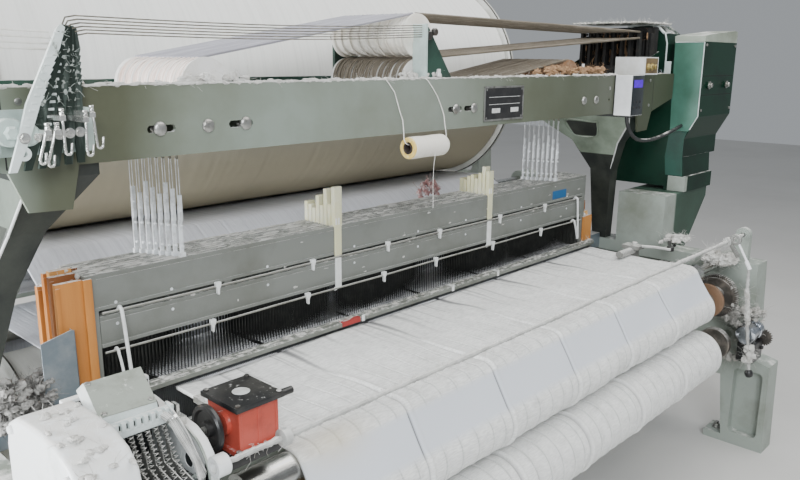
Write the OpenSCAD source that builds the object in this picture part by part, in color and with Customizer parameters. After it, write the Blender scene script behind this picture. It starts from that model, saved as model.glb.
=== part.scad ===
// Terry towel power loom: X runs across the cloth, Y from the weaver's side to the warp beams,
// Z up from the floor, with the origin on the floor in the middle of the machine.

/* [Side frames] */
// Clear width between the two side frames
frames_gap = 2940; // [2900:10:3000]
// Thickness of a side frame over its rims
frame_t = 120; // [100:5:130]
// Thickness of a side frame's web
frame_web = 36; // [24:2:50]
// Width of the cast rim round a side frame
frame_rim = 46; // [36:2:56]
// Height of the frames' top face
frame_top = 880; // [870:5:890]
// Reach of the front feet towards the weaver
front_reach = 1150; // [1145:5:1170]
// Diameter of a foot's anchor bolt hole
foot_hole_d = 22; // [18:1:26]
// Thickness of a foot's flange
foot_t = 34; // [26:2:44]

/* [Cross ties] */
// Side of the square tubes that tie the frames together
tie_side = 100; // [80:5:110]
// Wall of those tubes
tie_wall = 8; // [5:1:12]

/* [Top beam] */
// Overall length of the beam over the healds
beam_len = 3300; // [3260:10:3320]
// Height of the beam's front plate
beam_h = 164; // [150:2:170]
// Height of the beam's top above the floor
beam_top = 1700; // [1690:5:1710]
// Depth of the beam's channel
beam_depth = 90; // [80:5:94]
// Wall of the channel
beam_wall = 10; // [8:1:14]
// Place of the beam's front face, ahead of the middle
beam_front = 500; // [494:2:506]
// Diameter of the dome heads of the carriage bolts
dome_d = 34; // [28:1:38]
// Diameter of the carriage bolts' shanks
bolt_d = 14; // [12:1:16]
// Width of the adjusting slots in the beam
slot_w = 17; // [17:0.5:20]
// Length of those slots
slot_l = 72; // [60:2:80]

/* [Pulley drums] */
// Radius of the three low drums
drum_r = 70; // [64:1:72]
// Radius of the raised drum
high_drum_r = 66; // [60:1:68]
// Length of a drum along its shaft
drum_len = 340; // [320:5:350]
// Radius of the drums' fixed shafts
drum_shaft_r = 11; // [9:0.5:13]
// Height of the raised drum's shaft
high_drum_z = 1834; // [1834:1:1846]
// Number of cable grooves on a drum
drum_grooves = 8; // [6:1:10]
// Place of the left drum across the loom
drum_left_x = -900; // [-920:5:-880]
// Place of the middle drums across the loom
drum_mid_x = -100; // [-120:5:-80]
// Place of the right drum across the loom
drum_right_x = 850; // [830:5:870]

/* [Heald frames] */
// Spacing of the heald frames
heald_pitch = 19; // [18:0.5:20]
// Thickness of a heald frame
heald_t = 12; // [9:0.5:13]
// Length of a heald frame
heald_len = 2430; // [2400:5:2450]
// Height of a heald frame's top edge
heald_top = 1232; // [1225:1:1240]
// Height of a heald frame's top rail
heald_rail = 96; // [80:2:100]
// Height of the second rail below the top one
heald_rail2 = 84; // [70:2:90]
// Overall height of a heald frame
heald_h = 590; // [560:5:600]
// Place of the front heald frame's middle, ahead of the loom's middle
heald_front = 300; // [296:1:306]
// Number of healds drawn on each frame
heald_count = 60; // [30:2:110]

/* [Sley and reed] */
// Height of the sley's rocking shaft
sley_z = 300; // [280:5:320]
// Radius of the rocking shaft
sley_r = 30; // [24:1:34]
// Place of the rocking shaft, ahead of the middle
sley_y = 352; // [345:1:360]
// Place of the reed's middle, ahead of the loom's middle
reed_y = 384; // [382:1:388]
// Height of the reed cap's top
cap_top = 942; // [938:1:948]
// Number of gaps drawn between the reed's dents
reed_gaps = 110; // [60:2:120]

/* [Cloth and rollers] */
// Width of the cloth
cloth_w = 2166; // [2100:6:2196]
// Place of the cloth's left edge
cloth_x = -1038; // [-1060:2:-1030]
// Thickness of the terry cloth
cloth_t = 6; // [4:0.5:8]
// Number of towels woven side by side
towels = 6; // [4:1:8]
// Clearance between the standing cloth and a turning roller
cloth_gap = 0.4; // [0.3:0.1:0.8]
// Radius of the polished breast roller
breast_r = 42; // [38:1:46]
// Height of the breast roller
breast_z = 862; // [858:1:864]
// Place of the breast roller, ahead of the middle
breast_y = 870; // [864:1:876]
// Radius of the covered take-up roller
take_r = 70.6; // [66:0.2:74]
// Height of the take-up roller
take_z = 740; // [738:1:744]
// Place of the take-up roller, ahead of the middle
take_y = 914; // [910:1:918]
// Radius of the cloth wound on its roll
roll_r = 108; // [60:1:109]
// Height of the cloth roll
roll_z = 536; // [530:1:540]
// Place of the cloth roll, ahead of the middle
roll_y = 945; // [940:1:950]
// Radius of the rollers' journals
journal_r = 20; // [16:1:24]
// Radial running clearance of shafts and journals
fit = 0.05; // [0.02:0.01:0.1]

/* [Warp beams] */
// Radius of the pile beam's flanges
pile_flange_r = 510; // [500:5:515]
// Radius of the wound pile warp
pile_r = 485; // [460:5:490]
// Height of the pile beam
pile_z = 1650; // [1645:5:1660]
// Place of the pile beam behind the middle
pile_y = 640; // [635:5:640]
// Width between the beams' flanges
beam_gap = 2400; // [2380:10:2420]
// Radius of the ground beam's flanges
ground_flange_r = 340; // [330:5:345]
// Radius of the wound ground warp
ground_r = 300; // [280:5:310]
// Height of the ground beam
ground_z = 500; // [495:5:505]
// Radius of a warp beam's barrel
barrel_r = 85; // [75:5:95]
// Radius of a warp beam's gudgeons
gudgeon_r = 40; // [35:1:45]
// Radius of the back rest rollers
rest_r = 60; // [52:1:64]
// Height of the pile back rest roller
rest_high_z = 1120; // [1115:1:1125]
// Thickness of a warp sheet
sheet_t = 4; // [3:0.5:6]

/* [Dobby] */
// Width of the dobby's gearbox
dobby_w = 400; // [380:5:420]
// Place of the dobby's near side
dobby_x = 1660; // [1660:5:1680]
// Height of the gearbox's top
dobby_top = 1850; // [1840:5:1860]
// Number of jack levers
jacks = 8; // [6:1:8]
// Thickness of a jack lever
jack_t = 14; // [10:1:18]

/* [Selector levers] */
// Spacing of the selector levers' pins
lever_pitch = 27; // [26:0.5:28]
// Length of a selector lever above its pin
lever_up = 214; // [200:2:220]
// Length of a selector lever below its pin
lever_down = 64; // [56:2:70]
// Thickness of a selector lever
lever_t = 8; // [6:1:10]
// Gap between neighbouring levers
lever_gap = 4; // [3:0.5:6]
// Radius of a lever's pin
lever_pin_r = 6; // [5:0.5:7]

/* [Drive] */
// Radius of the flywheel
flywheel_r = 230; // [200:5:240]
// Height of the flywheel's shaft
drive_z = 620; // [610:5:630]
// Radius of the motor's body
motor_r = 110; // [95:5:120]
// Length of the motor's body
motor_len = 300; // [280:5:320]

/* [Hidden] */

// Places worked out from the sizes above
side_in = frames_gap / 2;
side_out = side_in + frame_t;
pocket_d = (frame_t - frame_web) / 2;
beam_bottom = beam_top - beam_h;
beam_back = -beam_front + beam_depth;
rear_rail_y = -40;
rear_rail_back = 0;
drum_front = -beam_front + beam_depth + 10;
low_drum_z = beam_top - drum_shaft_r - 1;
bracket_t = 12;
bracket_y = beam_back - bracket_t - 6;
rear_bracket_y = rear_rail_y + 14;
high_shaft_r = drum_shaft_r + 3;
heald_lo = heald_top - heald_h;
hanger_x = [drum_left_x - drum_r, drum_right_x + drum_r];
hanger_top = 1600;
strip_x = [-375, 452];
strip_rise = [[128, 96], [70, 112], [118, 84], [62, 60], [92, 74], [48, 66], [58, 50], [66, 54]];
hook_x = [-850, -498, -154, 127, 498, 845];
cloth_in = breast_z + breast_r + cloth_gap;
cloth_mid = cloth_in + cloth_t / 2;
fell_y = -reed_y - 14;
reed_x0 = -1172;
reed_x1 = 1152;
cap_z = cap_top - 26;
rest_y = 250;
rest_low_y = 620;
ground_y = 420;
rest_low_z = cloth_mid - sheet_t / 2 - cloth_gap - rest_r;
heald_back = -heald_front + 7 * heald_pitch + heald_t / 2;
sheet_end = heald_back + 16;
sheet_half = beam_gap / 2 - 30;
foot_x = side_in + frame_t / 2;
front_hole_y = -front_reach + 230;
rear_hole_y = 560;
dobby_back = -169;
dobby_front = -632;
dobby_foot = 1130;
jack_x = 1500;
jack_z = 1715;
jack_reach = 182;
jack_shaft_r = 14;
lever_z = 1607;
lever_x = -1425;
lever_wall = 12;
lever_y = -beam_front - lever_wall - 2;
start_y = -960;
start_z = 1005;
start_r = 11;
wheel_x = -1222;
wheel_y = -850;
wheel_z = 1024;
wheel_r = 52;
red_left = -1190;
red_w = 100;
drive_y = -40;
motor_y = 400;
motor_z = 330;
pulley_r = 62;
belt_x = -1690;
belt_w = 44;
belt_t = 8;
belt_gap = 1;
motor_face = belt_x - 70;
motor_end = motor_face - motor_len;
spool_y = -546;
spool_z = 1497;
spool_core = 12;
string_r = 1.6;

green = "#9aa397";
dark_green = "#1f4a3c";
mint = "#a9cdbf";
steel = "#b9bbb8";
black = "#23262a";

// An outline drawn as (y, z), made solid from x = a to x = b
module across(a, b) {
    translate([a, 0, 0]) rotate([90, 0, 90]) linear_extrude(b - a) children();
}

// An outline drawn as (x, z), made solid from y = a to y = b
module along(a, b) {
    translate([0, b, 0]) rotate([90, 0, 0]) linear_extrude(b - a) children();
}

// A block between two corners
module block(low, high) {
    translate(low) cube(high - low);
}

// A round bar along X
module bar_x(a, b, y, z, r) {
    translate([a, y, z]) rotate([0, 90, 0]) cylinder(r = r, h = b - a, $fn = 64);
}

// A round bar along Y
module bar_y(a, b, x, z, r) {
    translate([x, a, z]) rotate([-90, 0, 0]) cylinder(r = r, h = b - a, $fn = 48);
}

// A rounded rectangle between two corners
module rounded(low, high, r) {
    translate([low[0] + r, low[1]]) square([high[0] - low[0] - 2 * r, high[1] - low[1]]);
    translate([low[0], low[1] + r]) square([high[0] - low[0], high[1] - low[1] - 2 * r]);
    for (u = [low[0] + r, high[0] - r], v = [low[1] + r, high[1] - r])
        translate([u, v]) circle(r = r, $fn = 32);
}

// Points on an arc
function arc(c, r, from, to, n = 10) =
    [for (i = [0:n]) c + r * [cos(from + (to - from) * i / n), sin(from + (to - from) * i / n)]];

// Unit vector at an angle
function unit(a) = [cos(a), sin(a)];

// Direction of the outward normal where a band leaves circle 1 for circle 2 on the same side
function same_side(c1, r1, c2, r2, turn) =
    let (d = c2 - c1) atan2(d[1], d[0]) + turn * acos((r1 - r2) / norm(d));

// Direction of circle 1's outward normal where a band crosses over to circle 2's other side
function cross_side(c1, r1, c2, r2, turn) =
    let (d = c2 - c1) atan2(d[1], d[0]) + turn * acos((r1 + r2) / norm(d));

// Sideways direction of a path at one of its points
function path_normal(p, i) =
    let (a = p[max(i - 1, 0)], b = p[min(i + 1, len(p) - 1)], d = (b - a) / norm(b - a))
    [-d[1], d[0]];

// A strip of even thickness that follows a path
module strip(p, t) {
    n = len(p);
    polygon(concat([for (i = [0:n - 1]) p[i] + path_normal(p, i) * t / 2],
        [for (i = [n - 1:-1:0]) p[i] - path_normal(p, i) * t / 2]));
}

// Rim and body of a side frame, seen from the side
module frame_outline() {
    polygon([[-front_reach, 0], [-front_reach + 270, 0], [-front_reach + 270, foot_t],
        [-960, foot_t], [-930, 330], [-470, 330], [-sley_y - 70, sley_z - 50],
        [-sley_y + 70, sley_z - 50], [-230, 330], [480, 330], [600, 140], [600, foot_t],
        [520, foot_t], [520, 0], [860, 0], [860, foot_t], [790, foot_t], [790, 900],
        [pile_y + 95, pile_z], [pile_y - 95, pile_z], [520, 1010], [430, frame_top],
        [350, frame_top], [rest_y + 50, rest_high_z], [rest_y - 50, rest_high_z],
        [150, frame_top], [-1040, frame_top], [-1060, 440], [-1140, 420]]);
    translate([pile_y, pile_z]) circle(r = 95, $fn = 48);
    translate([rest_y, rest_high_z]) circle(r = 50, $fn = 32);
    translate([-sley_y, sley_z]) circle(r = 76, $fn = 48);
    translate([-breast_y, breast_z]) circle(r = journal_r + 18, $fn = 32);
}

// A cast side frame with pockets, windows, bearings and feet
module side_frame(s) {
    x0 = s > 0 ? side_in : -side_out;
    x1 = x0 + frame_t;
    pockets = [[[-760, 400], [-430, 824]], [[-390, 430], [70, 824]], [[560, 1080], [740, 1470]],
        [[620, 150], [760, 300]], [[-1118, 60], [-990, 380]]];
    difference() {
        union() {
            across(x0, x1) frame_outline();
            for (b = [[-breast_y, breast_z], [-take_y, take_z], [-roll_y, roll_z]])
                bar_x(s > 0 ? side_in - 10 : -side_in, s > 0 ? side_in : -side_in + 10,
                    b[0], b[1], journal_r + 16);
        }
        for (p = pockets) {
            across(x0 - 1, x0 + pocket_d) rounded(p[0], p[1], frame_rim / 2);
            across(x1 - pocket_d, x1 + 1) rounded(p[0], p[1], frame_rim / 2);
        }
        for (p = [pockets[0], pockets[2]])
            across(x0 - 1, x1 + 1)
                rounded(p[0] + [frame_rim, frame_rim], p[1] - [frame_rim, frame_rim], 30);
        for (b = [[-breast_y, breast_z], [-take_y, take_z], [-roll_y, roll_z]])
            bar_x(x0 - 12, x1 + 12, b[0], b[1], journal_r + fit);
        bar_x(x0 - 1, x1 + 1, -sley_y, sley_z, sley_r + fit);
        bar_x(x0 - 1, x1 + 1, pile_y, pile_z, gudgeon_r + fit);
        bar_x(x0 - 1, x1 + 1, ground_y, ground_z, gudgeon_r + fit);
        bar_x(x0 - 1, x1 + 1, rest_y, rest_high_z, journal_r + fit);
        bar_x(x0 - 1, x1 + 1, rest_low_y, rest_low_z, journal_r + fit);
        for (y = [front_hole_y, rear_hole_y])
            translate([s * foot_x, y, -1]) cylinder(d = foot_hole_d, h = foot_t + 2, $fn = 32);
    }
}

module frame_left() {
    color(green) difference() {
        union() {
            side_frame(-1);
            bar_x(-side_out, -side_in, drive_y, drive_z, 58);
        }
        bar_x(-side_out - 1, -side_in + 1, drive_y, drive_z, 30 + fit);
    }
}

// The right frame carries the dobby's pedestal and the start bar's ear
module frame_right() {
    color(green) difference() {
        union() {
            side_frame(1);
            along(-590, -350) polygon([[side_in, frame_top - 20], [side_out, frame_top - 180],
                [side_out + 60, frame_top - 150], [dobby_x + 300, dobby_foot - 50],
                [dobby_x + 300, dobby_foot], [side_in, dobby_foot]]);
            across(side_in, side_in + 30) {
                translate([start_y - 32, frame_top - 10]) square([64, start_z - frame_top + 10]);
                translate([start_y, start_z]) circle(r = 32, $fn = 32);
            }
        }
        along(-560, -380) polygon([[side_out + 30, frame_top - 110], [dobby_x + 220, dobby_foot - 70],
            [dobby_x + 220, dobby_foot - 40], [side_out + 30, dobby_foot - 40]]);
        bar_x(side_in - 1, side_in + 31, start_y, start_z, start_r + fit);
    }
}

// Square tubes between the frames
module cross_ties() {
    color(green) for (c = [[-700, 400], [-110, 420], [640, 990], [700, 90]])
        across(-side_in, side_in) difference() {
            translate([c[0] - tie_side / 2, c[1] - tie_side / 2]) square(tie_side);
            translate([c[0] - tie_side / 2 + tie_wall, c[1] - tie_side / 2 + tie_wall])
                square(tie_side - 2 * tie_wall);
        }
}

slots_x = [-1090, -870, -22, 62];
bolts_x = [-1094, -966, -856, -18, 79, 809, 907];
tab_x = beam_len / 2;

// The channel over the healds, with its slots and the deep tabs at its ends
module top_beam() {
    color(green) difference() {
        union() {
            along(-beam_front, -beam_front + beam_wall)
                polygon([[-tab_x, beam_top], [tab_x, beam_top], [tab_x, beam_bottom + 48],
                    [tab_x - 217, beam_bottom - 6], [tab_x - 250, beam_bottom - 90],
                    [tab_x - 340, beam_bottom - 94], [tab_x - 362, beam_bottom],
                    [-tab_x + 362, beam_bottom], [-tab_x + 340, beam_bottom - 94],
                    [-tab_x + 250, beam_bottom - 90], [-tab_x + 217, beam_bottom - 6],
                    [-tab_x, beam_bottom + 48]]);
            block([-tab_x, -beam_front, beam_top - beam_wall], [tab_x, beam_back, beam_top]);
            block([-tab_x + 300, -beam_front, beam_bottom],
                [tab_x - 300, beam_back, beam_bottom + beam_wall]);
            block([-tab_x + 60, beam_back - beam_wall, beam_bottom + 48],
                [tab_x - 60, beam_back, beam_top]);
            for (x = [-1300, -600, 0, 600, 1280])
                block([x, -beam_front, beam_bottom + 48], [x + beam_wall, beam_back, beam_top]);
        }
        for (x = slots_x)
            along(-beam_front - 1, -beam_front + beam_wall + 1) {
                for (d = [-1, 1]) translate([x + d * (slot_l - slot_w) / 2, beam_top - 100])
                    circle(d = slot_w, $fn = 32);
                translate([x - (slot_l - slot_w) / 2, beam_top - 100 - slot_w / 2])
                    square([slot_l - slot_w, slot_w]);
            }
        for (x = [bolts_x[1], bolts_x[5], bolts_x[6]])
            bar_y(-beam_front - 1, -beam_front + beam_wall + 1, x, beam_top - 100,
                bolt_d / 2 + fit);
        bar_y(-beam_front - 1, -beam_front + beam_wall + 1, 1018, beam_top - 103, 6);
    }
}

// A dome-headed carriage bolt through the beam's front plate
module carriage_bolt(x) {
    translate([x, -beam_front - 0.2, beam_top - 100]) rotate([90, 0, 0])
        rotate_extrude($fn = 40) polygon(concat([[0, 0], [dome_d / 2, 0]],
            [for (a = [15:15:75]) [dome_d / 2 * cos(a), dome_d / 4 * sin(a)]],
            [[0, dome_d / 4]]));
    bar_y(-beam_front - 0.2, -beam_front + beam_wall + 20, x, beam_top - 100, bolt_d / 2);
    translate([x, -beam_front + beam_wall + 0.3, beam_top - 100]) rotate([-90, 0, 0])
        cylinder(d = 2 * bolt_d, h = bolt_d * 0.8, $fn = 6);
}

// Carriage bolts and the bare riveted plate on the beam
module beam_fittings() {
    color(steel) for (x = bolts_x) carriage_bolt(x);
    color(black) {
        block([134, -beam_front - 3.2, beam_bottom + 18], [364, -beam_front - 0.2, beam_top - 33]);
        for (x = [144, 354], z = [beam_bottom + 26, beam_top - 41])
            bar_y(-beam_front - 5, -beam_front - 2, x, z, 4);
    }
}

// One leaning casting that carries the beams' ends on a side frame
module beam_arm(s) {
    hull() {
        block([s * 1320 - 80, -beam_front + beam_wall + 0.3, beam_bottom - 26],
            [s * 1320 + 80, rear_rail_back, beam_bottom - 0.2]);
        block([s * 1370 - 40, -395, 1380], [s * 1370 + 40, -150, 1400]);
    }
    hull() {
        block([s * 1370 - 40, -395, 1380], [s * 1370 + 40, -150, 1400]);
        block([s * 1420 - 35, -340, 1240], [s * 1420 + 35, -230, 1250]);
    }
    hull() {
        block([s * 1420 - 35, -340, 1240], [s * 1420 + 35, -230, 1250]);
        block([s * (side_in + 40) - 30, -286, frame_top], [s * (side_in + 40) + 30, -212, frame_top + 20]);
    }
}

module beam_arms() {
    color(dark_green) for (s = [-1, 1]) beam_arm(s);
}

module pick_counter() {
    color("white") difference() {
        block([1060, -580, beam_bottom - 6], [1170, -beam_front - 0.2, beam_top]);
        block([1068, -581, beam_top - 50], [1162, -577, beam_top - 18]);
        block([1068, -581, beam_bottom + 10], [1162, -578, beam_top - 62]);
    }
}

knob_x = [1242, 1282];

module switch_box() {
    color("ivory") difference() {
        block([1205, -556, beam_top + 0.2], [1345, beam_back - 10, beam_top + 76]);
        for (x = knob_x) bar_y(-557, -530, x, beam_top + 34, 4 + fit);
    }
}

// A turning knob on the switch box
module switch_knob(i) {
    color("goldenrod") {
        translate([knob_x[i], -557, beam_top + 34]) rotate([90, 0, 0])
            rotate_extrude($fn = 36) polygon([[0, 0], [14, 0], [14, 5], [11, 8], [11, 20],
                [9, 22], [0, 22]]);
        bar_y(-557, -532, knob_x[i], beam_top + 34, 4);
    }
}

module switch_knob_front() { switch_knob(0); }
module switch_knob_rear() { switch_knob(1); }

// Rear rail, fixed drum shafts, and the two upright castings of the raised drum
module drum_brackets() {
    color(dark_green) {
        block([-1390, rear_rail_y, beam_bottom], [1390, rear_rail_back, beam_top]);
        for (x = [drum_left_x, drum_mid_x, drum_right_x])
            bar_y(beam_back, rear_rail_y, x, low_drum_z, drum_shaft_r);
        for (y = [bracket_y, rear_bracket_y])
            along(y, y + bracket_t) polygon([[drum_mid_x - 24, beam_top],
                [drum_mid_x + 142, beam_top], [drum_mid_x + 26, high_drum_z + 22],
                [drum_mid_x + 12, high_drum_z + 34], [drum_mid_x - 24, high_drum_z + 34]]);
        along(bracket_y - 26, bracket_y) polygon([[drum_mid_x - 24, beam_top],
            [drum_mid_x - 14, beam_top], [drum_mid_x - 14, high_drum_z + 34],
            [drum_mid_x - 24, high_drum_z + 34]]);
        bar_y(bracket_y - 16, rear_bracket_y + bracket_t + 14, drum_mid_x, high_drum_z, high_shaft_r);
    }
}

// A grooved drum that runs on a fixed shaft along Y
module pulley_drum(x, z, r, shaft_r) {
    groove = (drum_len - 24) / drum_grooves;
    translate([x, drum_front, z]) rotate([-90, 0, 0]) rotate_extrude($fn = 72)
        polygon(concat([[shaft_r + fit, 0], [r, 0], [r, 8], [r - 8, 12]],
            [for (i = [0:drum_grooves - 1], k = [[0.15, 8], [0.3, 3], [0.7, 3], [0.85, 8]])
                [r - k[1], 12 + groove * (i + k[0])]],
            [[r - 8, drum_len - 12], [r, drum_len - 8], [r, drum_len], [shaft_r + fit, drum_len]]));
}

module drum_left() { color("mistyrose") pulley_drum(drum_left_x, low_drum_z, drum_r, drum_shaft_r); }
module drum_low() { color("white") pulley_drum(drum_mid_x, low_drum_z, drum_r, drum_shaft_r); }
module drum_right() { color("peru") pulley_drum(drum_right_x, low_drum_z, drum_r, drum_shaft_r); }
module drum_high() { color("cornsilk") pulley_drum(drum_mid_x, high_drum_z, high_drum_r, high_shaft_r); }

// Bands of lifting cables over the drums, and the selector wires along the beam
module cable_bands() {
    t = 3;
    left = [drum_left_x, low_drum_z];
    high = [drum_mid_x, high_drum_z];
    low = [drum_mid_x, low_drum_z];
    right = [drum_right_x, low_drum_z];
    off = cloth_gap + t / 2;
    rl = drum_r + off;
    rh = high_drum_r + off;
    end_1 = [jack_x - 12.4, jack_z + jack_reach - 4];
    end_2 = [jack_x - 12.4, jack_z + jack_reach - 32];
    a1 = same_side(left, rl, high, rh, 1);
    a2 = same_side(high, rh, end_1, 0, 1);
    b1 = same_side(low, rl, end_2, 0, 1);
    b2 = cross_side(low, rl, right, rl, -1);
    color("slategray") {
        along(drum_front + 10, drum_front + drum_len - 10) {
            strip(concat([[hanger_x[0] - off, hanger_top + 34]], arc(left, rl, 180, a1),
                arc(high, rh, a1, a2), [end_1]), t);
            strip(concat([end_2], arc(low, rl, b1, b2 + 360, 16),
                arc(right, rl, b2 + 180, 0), [[hanger_x[1] + off, hanger_top + 34]]), t);
        }
        for (i = [0:5]) {
            from = [lever_x + lever_pitch * i + 120 - 17 * i, lever_layer(i), lever_z + lever_up];
            to = [drum_mid_x - 24, bracket_y - 20, high_drum_z + 8 + 4 * i];
            taut(from + [6, 0, 0], to, 1.4);
        }
        for (i = [0:3]) taut([lever_x - 147.6, lever_layer(i), lever_z + lever_up + 4 * i - 6],
            [lever_x + lever_pitch * i + 68 - 17 * i, lever_layer(i), lever_z + lever_up - 12], 1.6);
    }
}

// A straight wire between two points
module taut(a, b, r) {
    d = b - a;
    translate(a) rotate([0, acos(d[2] / norm(d)), atan2(d[1], d[0])])
        cylinder(r = r, h = norm(d), $fn = 16);
}

// Middle of a selector lever's thickness, the first lever being the farthest out
function lever_layer(i) = lever_y - (5 - i) * (lever_t + lever_gap) - lever_t / 2;

// Plate with the levers' pins, the lug at its side and the cords' anchor post
module lever_bracket() {
    plate_y = -beam_front - lever_wall;
    color(mint) difference() {
        union() {
            along(plate_y, -beam_front - 0.2)
                rounded([lever_x - 40, lever_z - 42], [lever_x + 5 * lever_pitch + 34, lever_z + 50], 12);
            block([lever_x - 66, plate_y - 34, lever_z - 30], [lever_x - 32, -beam_front - 0.2, lever_z + 44]);
            along(plate_y - 34, plate_y) difference() {
                translate([lever_x - 50, lever_z - 30]) circle(r = 16, $fn = 32);
                translate([lever_x - 50, lever_z - 34]) circle(r = 6, $fn = 24);
            }
            for (i = [0:5]) {
                x = lever_x + lever_pitch * i;
                bar_y(lever_layer(i) - lever_t / 2 - 6, plate_y + 1, x, lever_z, lever_pin_r);
            }
            block([lever_x - 178, -beam_front + 20, beam_top], [lever_x - 162, beam_back - 20, beam_top + 150]);
            block([lever_x - 178, lever_layer(0) - 12, beam_top + 100],
                [lever_x - 162, -beam_front + 50, beam_top + 150]);
            for (i = [0:3]) block([lever_x - 166, lever_layer(i) - 5, lever_z + lever_up + 4 * i - 11],
                [lever_x - 148, lever_layer(i) + 5, lever_z + lever_up + 4 * i - 1]);
        }
    }
}

// A flat selector lever with its boss and its saw-toothed edge
module selector_lever(i) {
    x = lever_x + lever_pitch * i;
    top_dx = 90 - 17 * i;
    wide = i == 0 ? 17 : 8;
    y = lever_layer(i);
    teeth = 8;
    slope = top_dx / lever_up;
    color(i == 0 ? mint : dark_green) along(y - lever_t / 2, y + lever_t / 2) difference() {
        union() {
            polygon(concat([[x - 7 - slope * lever_down, lever_z - lever_down],
                [x + 7 - slope * lever_down, lever_z - lever_down], [x + 11, lever_z]],
                [for (k = [1:teeth], e = [[0, 0], [0.9, 3.5]])
                    [x + 9 + e[1] + slope * lever_up * (0.25 + 0.6 * (k + e[0]) / (teeth + 2)),
                    lever_z + lever_up * (0.25 + 0.6 * (k + e[0]) / (teeth + 2))]],
                [[x + 7 + top_dx, lever_z + lever_up - 6], [x + top_dx, lever_z + lever_up],
                [x + top_dx - 8, lever_z + lever_up - 6], [x - wide + slope * lever_up * 0.3,
                lever_z + lever_up * 0.3], [x - 11, lever_z]]));
            translate([x, lever_z]) circle(r = 12.5, $fn = 32);
        }
        translate([x, lever_z]) circle(r = lever_pin_r + fit, $fn = 32);
        translate([x + top_dx * 0.93, lever_z + lever_up * 0.93]) circle(r = 2.4, $fn = 16);
    }
}

module selector_lever_1() { selector_lever(0); }
module selector_lever_2() { selector_lever(1); }
module selector_lever_3() { selector_lever(2); }
module selector_lever_4() { selector_lever(3); }
module selector_lever_5() { selector_lever(4); }
module selector_lever_6() { selector_lever(5); }

// A heald frame: rails, end stiles, ridged wall of healds, hangers, plastic slips and hooks
module heald_frame(n) {
    y = -heald_front + n * heald_pitch;
    half = heald_len / 2;
    y0 = y - heald_t / 2;
    y1 = y + heald_t / 2;
    rail2_top = heald_top - heald_rail - 16;
    step = (heald_len - 80) / heald_count;
    color("#8f9290") {
        block([-half, y0, heald_top - heald_rail], [half, y1, heald_top]);
        block([-half + 30, y0, rail2_top - heald_rail2], [half - 30, y1, rail2_top]);
        block([-half, y0, heald_lo], [half, y1, heald_lo + 76]);
        for (s = [-1, 1]) block([s * (half - 15) - 15, y0, heald_lo], [s * (half - 15) + 15, y1, heald_top]);
        for (x = [-800, 0, 800]) block([x - 12, y0 + 1, rail2_top - 2], [x + 12, y1 - 1, heald_top - heald_rail + 2]);
        translate([0, 0, heald_lo + 70]) linear_extrude(rail2_top - heald_rail2 - heald_lo - 66)
            polygon(concat([for (i = [0:heald_count - 1], k = [[0.1, 1], [0.3, 3], [0.7, 3], [0.9, 1]])
                [-half + 40 + step * (i + k[0]), y - k[1]]],
                [[half - 40, y - 1], [half - 40, y + 1], [-half + 40, y + 1]]));
    }
    color("white") for (x = hanger_x) {
        block([x - 11, y - 2.5, heald_top - 4], [x + 11, y + 2.5, heald_top + 170]);
        block([x - 8, y - 4, heald_top + 30], [x + 8, y + 4, heald_top + 60]);
        block([x - 4, y - 2, heald_top + 150], [x + 4, y + 2, hanger_top]);
    }
    color("khaki") for (k = [0, 1]) {
        x = strip_x[k];
        block([x - 17, y0 - 5, heald_top - 8], [x + 17, y1, heald_top + strip_rise[n][k]]);
        if (n == 0) block([x - 15, y0 - 5, heald_top - 214], [x + 15, y0, heald_top]);
    }
    if (n == 0) color("white") for (z = [rail2_top + 8, rail2_top - heald_rail2 - 8]) {
        bar_x(-half + 34, half - 34, y0 - 3, z, 3.5);
        for (x = hook_x) {
            block([x - 9, y0 - 11, z - 6], [x + 9, y0 + 1, z + 10]);
            block([x - 4, y0 - 10, z - 26], [x + 4, y0 - 5, z - 6]);
        }
    }
}

module heald_frame_1() { heald_frame(0); }
module heald_frame_2() { heald_frame(1); }
module heald_frame_3() { heald_frame(2); }
module heald_frame_4() { heald_frame(3); }
module heald_frame_5() { heald_frame(4); }
module heald_frame_6() { heald_frame(5); }
module heald_frame_7() { heald_frame(6); }
module heald_frame_8() { heald_frame(7); }

// Wooden end guides with a groove for each heald frame, and their brackets
module heald_guides() {
    half = heald_len / 2;
    for (s = [-1, 1]) {
        top = s < 0 ? heald_top + 14 : heald_top - 124;
        color("sandybrown") difference() {
            block([s * (half + 30) - 45, -heald_front - 14, 905],
                [s * (half + 30) + 45, heald_back + 8, top]);
            for (n = [0:7])
                block([s * (half - 6) - 9, -heald_front + n * heald_pitch - heald_t / 2 - 0.3, 904],
                    [s * (half - 6) + 9, -heald_front + n * heald_pitch + heald_t / 2 + 0.3, top + 1]);
        }
        color("lightsteelblue") {
            a = s * (half + 20);
            b = s * side_in;
            block([min(a, b), -262, 830], [max(a, b), -196, 905]);
        }
    }
}

// Rocking shaft, swords and the hollow sley that carries the reed
module sley() {
    color("darkgray") difference() {
        union() {
            bar_x(-side_out, side_out, -sley_y, sley_z, sley_r);
            for (x = [-1000, -350, 350, 1000]) {
                across(x - 16, x + 16) polygon([[-sley_y - 40, sley_z - 30], [-sley_y + 40, sley_z - 30],
                    [-sley_y + 30, sley_z + 60], [-reed_y + 14, 702], [-reed_y - 56, 702],
                    [-sley_y - 46, sley_z + 60]]);
                bar_x(x - 36, x + 36, -sley_y, sley_z, sley_r + 18);
            }
            block([-1196, -reed_y - 60, 700], [1196, -reed_y + 16, 770]);
            block([-1196, -reed_y - 26, 768], [1196, -reed_y - 10, 812]);
            block([-1196, -reed_y + 10, 768], [1196, -reed_y + 18, 812]);
        }
        block([-1188, -reed_y - 52, 708], [1188, -reed_y + 8, 762]);
    }
}

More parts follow.
